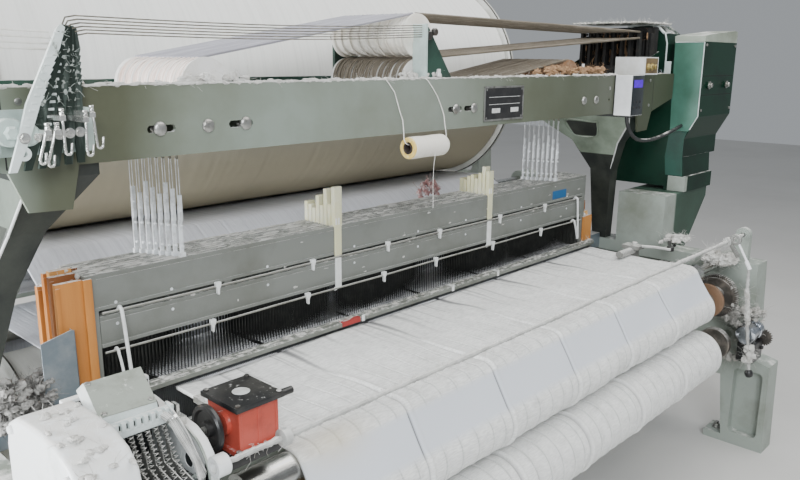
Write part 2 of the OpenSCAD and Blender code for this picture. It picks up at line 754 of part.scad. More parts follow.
// Reed: baulks, dents drawn as a ridged wall, end posts and the double cap
module reed() {
    step = (reed_x1 - reed_x0 - 40) / reed_gaps;
    color("silver") {
        block([reed_x0, -reed_y - 9.8, 770], [reed_x1, -reed_y + 9.8, 800]);
        for (x = [reed_x0, reed_x1 - 20]) block([x, -reed_y - 8, 790], [x + 20, -reed_y + 6, cap_top - 9]);
        translate([0, 0, 796]) linear_extrude(cap_z - 784)
            polygon(concat([for (i = [0:reed_gaps - 1], k = [[0.1, 1], [0.35, 6], [0.75, 6], [0.95, 1]])
                [reed_x0 + 20 + step * (i + k[0]), -reed_y - k[1]]],
                [[reed_x1 - 10, -reed_y - 1], [reed_x1 - 10, -reed_y + 4], [reed_x0 + 10, -reed_y + 4],
                [reed_x0 + 10, -reed_y - 1]]));
        block([reed_x0, -reed_y - 16, cap_z + 6], [reed_x1, -reed_y + 4, cap_top - 6]);
        across(reed_x0, reed_x1) {
            translate([-reed_y - 11, cap_z + 13]) circle(r = 8, $fn = 32);
            translate([-reed_y + 7, cap_z + 15]) circle(r = 8, $fn = 32);
        }
    }
}

// Temples at the cloth's edges on their bar under the cloth
module temples() {
    color("gray") {
        block([0.3 - side_in - pocket_d, -630, 790], [side_in + pocket_d - 0.3, -592, 820]);
        for (s = [0, 1]) {
            edge = s == 0 ? cloth_x : cloth_x + cloth_w;
            d = s == 0 ? -1 : 1;
            block([edge + d * 34 - 16, -616, 818], [edge + d * 34 + 16, -584, cloth_in + 50]);
            block([min(edge + d * 48, edge - d * 8), -640, cloth_in + 34],
                [max(edge + d * 48, edge - d * 8), -560, cloth_in + 50]);
            bar_x(min(edge + d * 18, edge - d * 110), max(edge + d * 18, edge - d * 110), -600,
                cloth_in + cloth_t + 20, 15);
        }
    }
}

// A roller with stepped journals that run in the frames
module roller(y, z, r, a, b) {
    bar_x(a, b, y, z, r);
    bar_x(a - 6, b + 6, y, z, r * 0.7);
    bar_x(-side_out + 10, side_out - 10, y, z, journal_r);
}

module breast_roller() {
    color(steel) roller(-breast_y, breast_z, breast_r, -1176, 1196);
}

// A spur wheel's outline, teeth drawn as trapezoids
module spur(y, z, r, n, h) {
    translate([y, z]) polygon([for (i = [0:n - 1], k = [[0, 0], [0.3, 0], [0.42, h], [0.84, h]])
        (r - h + k[1]) * unit(360 * (i + k[0]) / n)]);
}

take_gear_r = 95;

// Covered take-up roller with its toothed wheel and brake disc
module take_up_roller() {
    color("tan") roller(-take_y, take_z, take_r, cloth_x - 20, cloth_x + cloth_w + 20);
    color("dimgray") {
        across(1340, 1372) spur(-take_y, take_z, take_gear_r, 60, 9);
        bar_x(1290, 1396, -take_y, take_z, 44);
        bar_x(1240, 1256, -take_y, take_z, 74);
    }
}

// Wound cloth on its shaft, a thick ridge at each towel's border
module cloth_roll() {
    w = cloth_w / towels;
    color("white") translate([cloth_x, -roll_y, roll_z]) rotate([0, 90, 0]) rotate_extrude($fn = 96)
        polygon(concat([[0, 0]],
            [for (i = [0:towels - 1], k = [[0, 1.5], [0.03, 0], [0.44, 0.3], [0.485, 0], [0.515, 0],
                [0.56, 0.3], [0.97, 0], [0.985, 1.5]]) [roll_r - k[1] - 0.2, w * (i + k[0])]],
            [[roll_r - 1.7, cloth_w], [0, cloth_w]]));
    color(steel) {
        bar_x(-side_out + 10, side_out - 10, -roll_y, roll_z, journal_r);
        bar_x(1290, 1320, -roll_y, roll_z, 70);
    }
}

// The cloth from the fell over the breast roller and round the take-up roller to its roll
module cloth() {
    breast = [-breast_y, breast_z];
    take = [-take_y, take_z];
    rb = breast_r + cloth_gap + cloth_t / 2;
    rt = take_r + cloth_gap + cloth_t / 2;
    roll = [-roll_y, roll_z];
    rr = roll_r + cloth_gap + cloth_t / 2;
    off = same_side(breast, rb, take, rt, -1) + 360;
    nip = cross_side(take, rt, roll, rr, -1) + 360;
    color("whitesmoke") across(cloth_x, cloth_x + cloth_w)
        strip(concat([[fell_y, cloth_mid], [fell_y - 200, cloth_mid]], arc(breast, rb, 90, off, 6),
            arc(take, rt, off, nip, 14), [roll + rr * unit(nip + 180)]), cloth_t);
}

// Start and stop bar along the front with its end lever and long handle
module start_bar() {
    color("gainsboro") {
        bar_x(-1276, side_in + 28, start_y, start_z, start_r);
        for (x = [-1120, 1290]) bar_x(x - 12, x + 12, start_y, start_z, 20);
        across(1284, 1296) {
            difference() {
                translate([start_y - 34, start_z + 14]) circle(r = 24, $fn = 32);
                translate([start_y - 34, start_z + 14]) circle(r = 11, $fn = 24);
            }
            polygon([[start_y - 62, start_z - 60], [start_y - 44, start_z - 66],
                [start_y - 6, start_z - 12], [start_y - 18, start_z + 4]]);
        }
        taut([1290, start_y - 52, start_z - 56], [1290, start_y - 150, start_z - 560], 8);
        translate([1290, start_y - 150, start_z - 565]) sphere(r = 18, $fn = 24);
    }
}

// Red gearbox with its lid, base plate and output rod
module red_gearbox() {
    color("firebrick") difference() {
        union() {
            block([red_left, -902, 966], [red_left + red_w, -792, 1066]);
            block([red_left - 8, -910, 966], [red_left + red_w + 8, -784, 976]);
            bar_x(red_left - 10, red_left, wheel_y, wheel_z, 26);
        }
        bar_x(red_left - 11, red_left + 40, wheel_y, wheel_z, 8 + fit);
    }
    color(black) {
        block([red_left - 10, -912, 1066], [red_left + red_w + 10, -782, 1076]);
        block([-1259.8, -912, 950], [red_left + red_w + 8, -784, 966]);
        bar_x(red_left + red_w, red_left + red_w + 78, wheel_y, 1040, 8);
    }
}

// Black handwheel on the gearbox's input shaft
module handwheel() {
    color(black) {
        translate([wheel_x - 14, wheel_y, wheel_z]) rotate([0, 90, 0]) rotate_extrude($fn = 64)
            polygon([[0, 0], [16, 0], [18, 8], [wheel_r - 14, 6], [wheel_r - 10, 0], [wheel_r - 3, 0],
                [wheel_r, 4], [wheel_r, 11], [wheel_r - 3, 14], [wheel_r - 12, 14], [18, 12],
                [16, 18], [0, 18]]);
        bar_x(wheel_x, red_left + 38, wheel_y, wheel_z, 8);
    }
}

// Twin-cheeked selector casting on the left frame's front
module selector_housing() {
    cheek = [[-1000, 935], [-720, 935], [-700, 1000], [-704, 1122], [-760, 1138], [-850, 1100],
        [-920, 1096], [-985, 1040], [-1008, 980]];
    color(mint) difference() {
        union() {
            for (x = [-1560, -1284]) across(x, x + 24) difference() {
                polygon(cheek);
                translate([-800, 1040]) circle(r = 26, $fn = 40);
                translate([-880, 1000]) circle(r = 18, $fn = 32);
            }
            block([-1560, -990, 930], [-1260, -720, 950]);
            block([-side_out + 10, -breast_y + journal_r + 22, frame_top], [-side_in - 10, -724, 932]);
            bar_x(-1600, -1558, -940, 990, 46);
            bar_x(-1540, -1282, -745, 1062, 14);
            for (i = [0:8]) block([-1500 + i * 22, -985, 948], [-1490 + i * 22, -950, 1010]);
            block([-1506, -985, 948], [-1306, -950, 966]);
            bar_x(-1290, -1262, start_y, start_z, 26);
        }
        bar_x(-1292, -1258, start_y, start_z, start_r + fit);
        bar_x(-1601, -1570, -940, 990, 22);
    }
}

// Sheet cover over the selector casting
module housing_cover() {
    color(green) translate([-1372, -780, 1134.35]) rotate([8, 0, 6]) difference() {
        block([-88, -84, 1], [88, 84, 5]);
        for (x = [-74, 74]) translate([x, 70, 0]) cylinder(r = 5, h = 6, $fn = 24);
    }
}

// A flanged warp beam on its gudgeons
module warp_beam(y, z, flange) {
    half = beam_gap / 2;
    bar_x(-half - 1, half + 1, y, z, barrel_r);
    bar_x(-side_out + 6, side_out - 6, y, z, gudgeon_r);
    for (s = [-1, 1]) translate([s * half, y, z]) rotate([0, s * 90, 0]) rotate_extrude($fn = 96)
        polygon([[gudgeon_r - 5, 0], [flange - 12, 0], [flange, 4], [flange, 22], [flange - 14, 24],
            [flange - 26, 12], [150, 12], [130, 36], [gudgeon_r - 5, 40]]);
}

// Warp wound on a beam's barrel
module wound_warp(y, z, r) {
    half = beam_gap / 2 - 0.4;
    translate([-half, y, z]) rotate([0, 90, 0]) rotate_extrude($fn = 96)
        polygon([[barrel_r + 0.3, 0], [r - 6, 0], [r, 10], [r, 2 * half - 10], [r - 6, 2 * half],
            [barrel_r + 0.3, 2 * half]]);
}

module pile_beam() { color("gainsboro") warp_beam(pile_y, pile_z, pile_flange_r); }
module pile_warp() { color("ivory") wound_warp(pile_y, pile_z, pile_r); }
module ground_beam() { color("gainsboro") warp_beam(ground_y, ground_z, ground_flange_r); }
module ground_warp() { color("ivory") wound_warp(ground_y, ground_z, ground_r); }
module pile_roller() { color(steel) roller(rest_y, rest_high_z, rest_r, -1188, 1188); }
module ground_roller() { color(steel) roller(rest_low_y, rest_low_z, rest_r, -1188, 1188); }

// Pile and ground warp sheets from their beams over the back rests to the healds
module warp_sheets() {
    g = cloth_gap + sheet_t / 2;
    pile = [pile_y, pile_z];
    high = [rest_y, rest_high_z];
    ground = [ground_y, ground_z];
    low = [rest_low_y, rest_low_z];
    p_end = [sheet_end, cloth_mid + 26];
    a = cross_side(pile, pile_r + g, high, rest_r + g, 1);
    b = same_side(high, rest_r + g, p_end, 0, -1) + 360;
    c = same_side(ground, ground_r + g, low, rest_r + g, -1);
    color("lavender") {
        across(-sheet_half, sheet_half) strip(concat([pile + (pile_r + g) * unit(a)],
            arc(high, rest_r + g, a + 180, b, 6), [p_end]), sheet_t);
        across(-sheet_half, sheet_half) strip(concat([ground + (ground_r + g) * unit(c)],
            arc(low, rest_r + g, c, 90, 8), [[sheet_end, cloth_mid]]), sheet_t);
    }
}

// Drive motor on its plinth
module drive_motor() {
    color("seagreen") difference() {
        union() {
            bar_x(motor_end, motor_face, motor_y, motor_z, motor_r);
            bar_x(motor_face - 2, motor_face + 16, motor_y, motor_z, 50);
            for (i = [0:11]) translate([0, motor_y, motor_z]) rotate([i * 30 + 15, 0, 0])
                block([motor_end + 40, -4, motor_r - 6], [motor_face - 40, 4, motor_r + 12]);
            block([motor_end + 20, motor_y - 120, 0], [motor_face - 20, motor_y + 120, 20]);
            for (x = [motor_end + 50, motor_face - 70])
                block([x, motor_y - 80, 18], [x + 20, motor_y + 80, motor_z - motor_r + 40]);
        }
        bar_x(motor_face - 40, motor_face + 17, motor_y, motor_z, 14 + fit);
    }
}

module motor_pulley() {
    color("dimgray") {
        bar_x(belt_x - 6, belt_x + belt_w + 6, motor_y, motor_z, pulley_r);
        bar_x(motor_face - 30, belt_x, motor_y, motor_z, 14);
    }
}

// Spoked flywheel on the main shaft's end
module flywheel() {
    color("dimgray") {
        across(belt_x - 6, belt_x + belt_w + 6) difference() {
            translate([drive_y, drive_z]) circle(r = flywheel_r, $fn = 96);
            for (i = [0:4]) translate([drive_y, drive_z] + 135 * unit(72 * i)) circle(r = 50, $fn = 40);
        }
        bar_x(belt_x - 20, belt_x + belt_w + 30, drive_y, drive_z, 58);
        bar_x(belt_x - 40, -side_in - 4, drive_y, drive_z, 30);
    }
}

// Flat belt from the motor's pulley to the flywheel
module drive_belt() {
    fly = [drive_y, drive_z];
    mot = [motor_y, motor_z];
    rf = flywheel_r + belt_gap + belt_t / 2;
    rm = pulley_r + belt_gap + belt_t / 2;
    up = same_side(fly, rf, mot, rm, 1);
    down = same_side(fly, rf, mot, rm, -1);
    ring = concat(arc(fly, rf, up, down + 360, 32), arc(mot, rm, down, up, 14));
    color(black) across(belt_x, belt_x + belt_w) difference() {
        polygon([for (i = [0:len(ring) - 1]) ring_side(ring, i, belt_t / 2)]);
        polygon([for (i = [0:len(ring) - 1]) ring_side(ring, i, -belt_t / 2)]);
    }
}

// A closed path's point moved sideways
function ring_side(p, i, d) =
    let (n = len(p), a = p[(i + n - 1) % n], b = p[(i + 1) % n], u = (b - a) / norm(b - a))
    p[i] + d * [u[1], -u[0]];

// Gearbox of the dobby with its tower, rounded chest and the jacks' cheeks
module dobby_gearbox() {
    x0 = dobby_x;
    x1 = dobby_x + dobby_w;
    color(dark_green) {
        across(x0, x1) polygon([[dobby_front, dobby_top], [dobby_front, 1500], [-574, 1390],
            [-574, 1300], [dobby_back, 1300], [dobby_back, 1700], [-485, 1760], [-485, dobby_top]]);
        across(x0, x1 - 70) polygon([[-576, 1302], [-582, dobby_foot + 76], [-597, dobby_foot + 76],
            [-597, dobby_foot], [-490, dobby_foot], [-490, dobby_foot + 20], [dobby_back, dobby_foot + 20],
            [dobby_back, 1302]]);
        across(x0, x0 + 180) {
            polygon([[-444, 1700], [-200, 1680], [-200, 1860], [-232, 1915], [-300, 1932], [-380, 1928],
                [-430, 1890], [-444, 1840]]);
        }
        for (x = [x0 + 74, x0 + 290]) bar_y(dobby_front - 12, dobby_front + 1, x, 1648, 16);
        for (y = [drum_front - 9, drum_front + drum_len + 6])
            along(y, y + 9) polygon([[jack_x - 34, jack_z - 30], [x0 + 1, jack_z - 30],
                [x0 + 1, jack_z + 90], [jack_x + 60, jack_z + 60], [jack_x - 34, jack_z + 34]]);
        bar_y(drum_front - 8, drum_front + drum_len + 12, jack_x, jack_z, jack_shaft_r);
    }
}

// Sheet hood over the tower and the thin cover over the jack levers
module dobby_hood() {
    x0 = dobby_x;
    x1 = dobby_x + dobby_w;
    color(mint) difference() {
        along(dobby_front, -485) polygon([[x0, dobby_top + 0.3], [x1, dobby_top + 0.3],
            [x1, dobby_top + 54], [x1 - 40, dobby_top + 58], [x0 + 60, dobby_top + 34],
            [x0, dobby_top + 26]]);
        along(dobby_front + 6, -491) polygon([[x0 + 6, dobby_top - 1], [x1 - 6, dobby_top - 1],
            [x1 - 6, dobby_top + 46], [x0 + 6, dobby_top + 20]]);
    }
    color(black) block([jack_x - 60, drum_front - 16, 1933], [x0 + 100, drum_front + drum_len + 10, 1939]);
    color(black) block([x0 + 60, -310, 1932], [x0 + 90, -290, 1934]);
}

// Jack levers that pull the lifting cables
module dobby_jacks() {
    pitch = (drum_len - 40) / (jacks - 1);
    color(black) difference() {
        union() {
            bar_y(drum_front + 1, drum_front + drum_len + 5, jack_x, jack_z, jack_shaft_r + 9);
            for (i = [0:jacks - 1]) {
                y = drum_front + 20 + pitch * i;
                along(y - jack_t / 2, y + jack_t / 2) polygon([[jack_x - 18, jack_z], [jack_x + 18, jack_z],
                    [jack_x + 14, jack_z + 120], [jack_x + 10, jack_z + jack_reach],
                    [jack_x - 12, jack_z + jack_reach], [jack_x - 12, jack_z + 100]]);
            }
        }
        bar_y(drum_front, drum_front + drum_len + 6, jack_x, jack_z, jack_shaft_r + fit);
    }
}

// Small yarn package hung on a string from the beam
module yarn_spool() {
    color("white") translate([-300, spool_y, spool_z]) rotate([0, 90, 0]) rotate_extrude($fn = 64)
        polygon([[spool_core, 0], [26, 0], [33, 3], [34, 60], [33, 120], [31, 164], [26, 168],
            [20, 170], [spool_core, 170]]);
}

string_route = [[-356, -492, 1702], [-356, -504, 1702], [-344, -507, 1688], [-322, -508, 1664],
    [-312, -510, 1636], [-306, -514, 1610], [-302, -524, 1580], [-308, -534, 1550],
    [-314, -541, 1526], [-311, -545, 1513], [-300, spool_y, 1507.2], [-260, spool_y, 1507.2],
    [-215, spool_y, 1507.2], [-170, spool_y, 1507.2], [-130, spool_y, 1507.2],
    [-119, -545, 1514], [-116, -541, 1530], [-112, -532, 1556], [-106, -522, 1586],
    [-110, -512, 1616], [-124, -508, 1646], [-146, -507, 1672], [-166, -505, 1694],
    [-176, -503, 1702], [-178, -492, 1702]];

// A round cord swept along its points
module swept(p, r, sides) {
    n = len(p);
    dirs = [for (i = [0:n - 1]) let (d = p[min(i + 1, n - 1)] - p[max(i - 1, 0)]) d / norm(d)];
    rings = [for (i = [0:n - 1], k = [0:sides - 1])
        let (side = cross(dirs[i], [0, 1, 0.001]) / norm(cross(dirs[i], [0, 1, 0.001])),
            up = cross(side, dirs[i]), a = 360 * k / sides)
        p[i] + r * (cos(a) * side + sin(a) * up)];
    quads = [for (i = [0:n - 2], k = [0:sides - 1])
        [i * sides + k, i * sides + (k + 1) % sides, (i + 1) * sides + (k + 1) % sides,
            (i + 1) * sides + k]];
    polyhedron(rings, concat(quads, [[for (k = [sides - 1:-1:0]) k]],
        [[for (k = [0:sides - 1]) (n - 1) * sides + k]]));
}

module spool_string() {
    color("white") swept(string_route, string_r, 8);
}

frame_left();
frame_right();
cross_ties();
top_beam();
beam_fittings();
beam_arms();
pick_counter();
switch_box();
switch_knob_front();
switch_knob_rear();
drum_brackets();
drum_left();
drum_high();
drum_low();
drum_right();
cable_bands();
lever_bracket();
selector_lever_1();
selector_lever_2();
selector_lever_3();
selector_lever_4();
selector_lever_5();
selector_lever_6();
heald_frame_1();
heald_frame_2();
heald_frame_3();
heald_frame_4();
heald_frame_5();
heald_frame_6();
heald_frame_7();
heald_frame_8();
heald_guides();
sley();
reed();
temples();
breast_roller();
take_up_roller();
cloth_roll();
cloth();
start_bar();
red_gearbox();
handwheel();
selector_housing();
housing_cover();
pile_beam();
pile_warp();
ground_beam();
ground_warp();
pile_roller();
ground_roller();
warp_sheets();
drive_motor();
motor_pulley();
flywheel();
drive_belt();
dobby_gearbox();
dobby_hood();
dobby_jacks();
yarn_spool();
spool_string();
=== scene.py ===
# Terry towel power loom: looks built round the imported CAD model.
import math
import random

import bmesh
import bpy
import mathutils
import numpy as np
from mathutils import Matrix, Vector


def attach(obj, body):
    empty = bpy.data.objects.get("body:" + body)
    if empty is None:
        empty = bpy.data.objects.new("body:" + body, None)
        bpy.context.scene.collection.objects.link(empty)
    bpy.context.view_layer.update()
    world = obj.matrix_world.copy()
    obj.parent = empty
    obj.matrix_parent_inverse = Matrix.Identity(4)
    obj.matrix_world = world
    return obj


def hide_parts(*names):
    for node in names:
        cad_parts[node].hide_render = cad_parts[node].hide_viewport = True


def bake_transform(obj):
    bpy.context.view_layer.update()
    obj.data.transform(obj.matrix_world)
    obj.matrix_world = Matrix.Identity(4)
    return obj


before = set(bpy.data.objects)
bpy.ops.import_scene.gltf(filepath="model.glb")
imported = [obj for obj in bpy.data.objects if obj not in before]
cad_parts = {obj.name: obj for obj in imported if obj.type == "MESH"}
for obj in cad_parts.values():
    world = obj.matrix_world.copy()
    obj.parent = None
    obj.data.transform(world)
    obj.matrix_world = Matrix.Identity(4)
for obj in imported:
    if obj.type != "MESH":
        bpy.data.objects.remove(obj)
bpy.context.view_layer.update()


# --- Camera --------------------------------------------------------------
# The photograph's viewpoint: at head height by the front left corner of the loom,
# looking along the cloth towards the dobby, a little downwards.
yaw, pitch, roll = math.radians(47.0), math.radians(13.4), math.radians(0.43)
look = Vector((math.sin(yaw) * math.cos(pitch), math.cos(yaw) * math.cos(pitch), -math.sin(pitch)))
right = look.cross(Vector((0, 0, 1))).normalized()
up = right.cross(look)
right, up = (math.cos(roll) * right + math.sin(roll) * up, math.cos(roll) * up - math.sin(roll) * right)
camera_data = bpy.data.cameras.new("camera")
camera_data.sensor_width = 36.0
camera_data.lens = 760.0 / 800.0 * 36.0
camera = bpy.data.objects.new("camera", camera_data)
bpy.context.scene.collection.objects.link(camera)
camera.matrix_world = Matrix(((right.x, up.x, -look.x, -2.0), (right.y, up.y, -look.y, -2.1),
                              (right.z, up.z, -look.z, 1.76), (0, 0, 0, 1)))
bpy.context.scene.camera = camera


# --- Yarn package on its string --------------------------------------------
# A small paper-cored package of weft hangs from the top beam on a loop of soft white string,
# and its loose end runs down among the healds. Wound yarn, a yellow rim, a dark paper core.
LINT = (0.72, 0.71, 0.68)
UP, ACROSS, LEFT, REAR, FRONT = (0, 0, 1), (1, 0, 0), (-1, 0, 0), (0, 1, 0), (0, -1, 0)
BLOCK_SIDES = [(3, 2, 1, 0), (4, 5, 6, 7), (0, 1, 5, 4), (1, 2, 6, 5), (2, 3, 7, 6), (3, 0, 4, 7)]


def fill(mat, target, inputs):
    """Gives a node's inputs their constants, or joins them to other nodes' outputs."""
    for key, value in inputs.items():
        if isinstance(value, bpy.types.NodeSocket):
            mat.node_tree.links.new(value, target.inputs[key])
        else:
            target.inputs[key].default_value = value


def add_node(mat, kind, inputs, **settings):
    """Adds a node to a finish and hands back its outputs."""
    made = mat.node_tree.nodes.new("ShaderNode" + kind)
    for key, value in settings.items():
        setattr(made, key, value)
    fill(mat, made, inputs)
    return made.outputs


def mixed(mat, share, one, other, way="MIX"):
    """A colour that passes into another by a share."""
    return add_node(mat, "Mix", {0: share, 6: one, 7: other}, data_type="RGBA", blend_type=way)[2]


def ranged(mat, value, low, high, **more):
    """A value stretched so that low becomes 0 and high becomes 1."""
    return add_node(mat, "MapRange", {"Value": value, "From Min": low, "From Max": high}, **more)[0]


def noise_in(mat, place, scale, detail, rough=0.5):
    """Soft noise over a place."""
    return add_node(mat, "TexNoise",
                    {"Vector": place, "Scale": scale, "Detail": detail, "Roughness": rough})[0]


def shader_of(mat):
    """A finish's shader."""
    return mat.node_tree.nodes["Principled BSDF"]


def colour_of(mat):
    """The output that colours a finish."""
    return shader_of(mat).inputs["Base Color"].links[0].from_socket


def place_on(mat, axis):
    """A finish's place along one axis, in metres."""
    place = add_node(mat, "TexCoord", {})["Object"]
    return add_node(mat, "SeparateXYZ", {0: place})[axis]


def surface(name, base, patches, rough, metal=0.0, scale=5.0, patch_from=0.45, patch_to=0.7, grain=180.0,
            relief=0.15, stretch=(1, 1, 1), dust=0.0, dust_scale=9.0):
    """A material with soft colour patches, fine relief and, on faces that look up, settled lint."""
    mat = bpy.data.materials.new(name)
    mat.use_nodes = True
    place = add_node(mat, "TexCoord", {})["Object"]
    scaled = add_node(mat, "Mapping", {"Vector": place, "Scale": stretch})[0]
    share = ranged(mat, noise_in(mat, scaled, scale, 6.0, 0.62), patch_from, patch_to)
    colour = mixed(mat, share, (*base, 1), (*patches, 1))
    if dust:
        normal = add_node(mat, "NewGeometry", {})["Normal"]
        level = ranged(mat, add_node(mat, "SeparateXYZ", {0: normal})["Z"], 0.35, 0.95)
        tufts = noise_in(mat, place, dust_scale, 9.0, 0.7)
        settled = ranged(mat, tufts, 0.62 - 0.35 * dust, 0.72 - 0.25 * dust)
        cover = add_node(mat, "Math", {0: level, 1: settled}, operation="MULTIPLY")[0]
        colour = mixed(mat, cover, colour, (*LINT, 1))
    fine = noise_in(mat, scaled, grain, 4.0)
    bump = add_node(mat, "Bump", {"Height": fine, "Strength": relief, "Distance": 0.002})[0]
    fill(mat, shader_of(mat), {"Roughness": rough, "Metallic": metal, "Base Color": colour, "Normal": bump})
    return mat


def slab(low, high):
    """A block between two corners: its points and its faces."""
    (a, b, c), (d, e, f) = low, high
    points = [(a, b, c), (d, b, c), (d, e, c), (a, e, c), (a, b, f), (d, b, f), (d, e, f), (a, e, f)]
    return points, BLOCK_SIDES


def cross_frame(direction):
    """Two unit directions square to a line, always the same for the same line."""
    d = Vector(direction).normalized()
    side = d.cross(Vector((0.13, 1, 0.07)) if abs(d.y) < 0.9 else Vector((0.05, 0.02, 1))).normalized()
    return side, d.cross(side)


def hoop(centre, side, other, radius, sides):
    """Points round a circle."""
    angles = [2 * math.pi * k / sides for k in range(sides)]
    return [tuple(centre + radius * (math.cos(a) * side + math.sin(a) * other)) for a in angles]


def tube(rows, sides, foot=True, top=True, ring=False):
    """Faces of a tube whose points go round it row by row; a ring's last row joins its first."""
    n = rows * sides
    faces = [(i * sides + k, i * sides + (k + 1) % sides, ((i + 1) * sides + (k + 1) % sides) % n,
              ((i + 1) * sides + k) % n) for i in range(rows if ring else rows - 1) for k in range(sides)]
    if foot and not ring:
        faces.append(tuple(range(sides - 1, -1, -1)))
    if top and not ring:
        faces.append(tuple(range(n - sides, n)))
    return faces


def swept(points, radius, sides=8):
    """A round bar, wire or cord that follows points; radius may be a list, one for each point."""
    path = [Vector(p) for p in points]
    side, verts = cross_frame(path[1] - path[0])[0], []
    for i, p in enumerate(path):
        d = (path[min(i + 1, len(path) - 1)] - path[max(i - 1, 0)]).normalized()
        side = (side - d * side.dot(d)).normalized()
        verts += hoop(p, side, d.cross(side), radius[i] if isinstance(radius, list) else radius, sides)
    return verts, tube(len(path), sides)


def turned(start, direction, outline, sides=32, ring=False):
    """A turned form: outline holds (along, radius) pairs from start along direction. A ring's
    outline comes back to where it began, so that the form has a bore."""
    s, d = Vector(start), Vector(direction).normalized()
    side, other = cross_frame(d)
    verts = [p for along, r in outline for p in hoop(s + d * along, side, other, r, sides)]
    return verts, tube(len(outline), sides, outline[0][1] > 1e-6, outline[-1][1] > 1e-6, ring)


def piece(name, forms, material, body, bevel=0.0, bevel_steps=2, smooth=35.0, marks=None):
    """One object from several forms, with eased edges, that rides on a body; marks lie on its points."""
    verts, faces = [], []
    for v, f in forms:
        base = len(verts)
        verts += v
        faces += [tuple(i + base for i in face) for face in f]
    mesh = bpy.data.meshes.new(name)
    mesh.from_pydata(verts, [], faces)
    if marks is not None:
        store = mesh.attributes.new("marks", "FLOAT_VECTOR", "POINT")
        store.data.foreach_set("vector", marks.astype(np.float32).ravel())
    form = bmesh.new()
    form.from_mesh(mesh)
    bmesh.ops.remove_doubles(form, verts=form.verts, dist=1e-7)
    bmesh.ops.recalc_face_normals(form, faces=form.faces)
    if bevel:
        sharp = [e for e in form.edges if len(e.link_faces) == 2
                 and e.calc_face_angle(0) > math.radians(40) and e.calc_length() > 2.5 * bevel]
        bmesh.ops.bevel(form, geom=sharp, offset=bevel, segments=bevel_steps, profile=0.6, affect="EDGES",
                        clamp_overlap=True)
    for face in form.faces:
        face.smooth = True
    for edge in form.edges:
        if len(edge.link_faces) == 2 and edge.calc_face_angle(0) > math.radians(smooth):
            edge.smooth = False
    form.to_mesh(mesh)
    form.free()
    mesh.materials.append(material)
    obj = bpy.data.objects.new(name, mesh)
    bpy.context.scene.collection.objects.link(obj)
    if body:
        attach(obj, body)
    return obj


def coat(material, *nodes):
    """Gives CAD nodes their finish."""
    for node in nodes:
        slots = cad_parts[node].data.materials
        slots.clear()
        slots.append(material)


def mm(points):
    """Places in metres from places in millimetres."""
    return [tuple(c / 1000 for c in p) for p in points]


string_line = mm([(-356, -492, 1702), (-356, -504, 1702), (-344, -507, 1688), (-322, -508, 1664),
                  (-312, -510, 1636), (-306, -514, 1610), (-302, -524, 1580), (-308, -534, 1550),
                  (-314, -541, 1526), (-311, -545, 1513), (-300, -546, 1507.2), (-260, -546, 1507.2),
                  (-215, -546, 1507.2), (-170, -546, 1507.2), (-130, -546, 1507.2), (-119, -545, 1514),
                  (-116, -541, 1530), (-112, -532, 1556), (-106, -522, 1586), (-110, -512, 1616),
                  (-124, -508, 1646), (-146, -507, 1672), (-166, -505, 1694), (-176, -503, 1702),
                  (-178, -492, 1702)])
tail = mm([(-214, -579.5, 1497.5), (-213.5, -580, 1488), (-212.8, -579.6, 1474), (-212.4, -577, 1458),
           (-212.2, -574.5, 1444), (-212.2, -573.5, 1430), (-212.4, -573.2, 1416), (-212.8, -573, 1402),
           (-213, -572.8, 1388), (-212.8, -572.7, 1374), (-212.2, -572.6, 1360), (-211.6, -572.6, 1346),
           (-211.2, -572.7, 1332), (-211.2, -572.9, 1318), (-211.6, -573.2, 1304)])
white_string = surface("white_string", (0.8, 0.79, 0.75), (0.7, 0.68, 0.62), 0.85, scale=60, grain=900,
                       relief=0.5)
wound_yarn = surface("wound_yarn", (0.8, 0.77, 0.7), (0.7, 0.66, 0.57), 0.85, scale=12, stretch=(30, 1, 1),
                     relief=0.35)
yellow_paper = surface("yellow_paper", (0.74, 0.52, 0.12), (0.82, 0.7, 0.38), 0.7, scale=60)
dark_paper = surface("dark_paper", (0.03, 0.022, 0.018), (0.07, 0.05, 0.04), 0.85, scale=50)
string_piece = piece("package_string", [swept(string_line, 0.0016, 8)], white_string, "root")
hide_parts("spool_string")
package_end = (-0.3, -0.546, 1.497)
crown = [(0.001, 0.0255), (0.004, 0.0305)]
crown += [(0.006 + 0.0062 * k, 0.0332 + 0.0005 * math.sin(k * 0.4) + 0.00025 * (k % 2)) for k in range(25)]
crown += [(0.16, 0.0305), (0.166, 0.0265), (0.169, 0.02), (0.169, 0.0176), (0.001, 0.0176)]
rim_outline = [(-0.0012, 0.019), (-0.0024, 0.0205), (-0.0026, 0.03), (-0.001, 0.0322), (0.003, 0.0326),
               (0.003, 0.018)]
core_outline = [(0.0, 0.012), (-0.0035, 0.0126), (-0.004, 0.0168), (-0.002, 0.018), (0.172, 0.0175),
                (0.173, 0.0168), (0.1735, 0.0126), (0.17, 0.012)]
package = [piece("package_" + part, [turned(package_end, ACROSS, outline, sides, ring=True)], paper, "root") for part, outline, sides, paper in (("winding", crown, 56, wound_yarn),
                                                             ("rim", rim_outline, 56, yellow_paper),
                                                             ("core", core_outline, 48, dark_paper))]
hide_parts("yarn_spool")
yarn_end = piece("package_yarn_end", [swept(tail, 0.0007, 6)], white_string, "root")


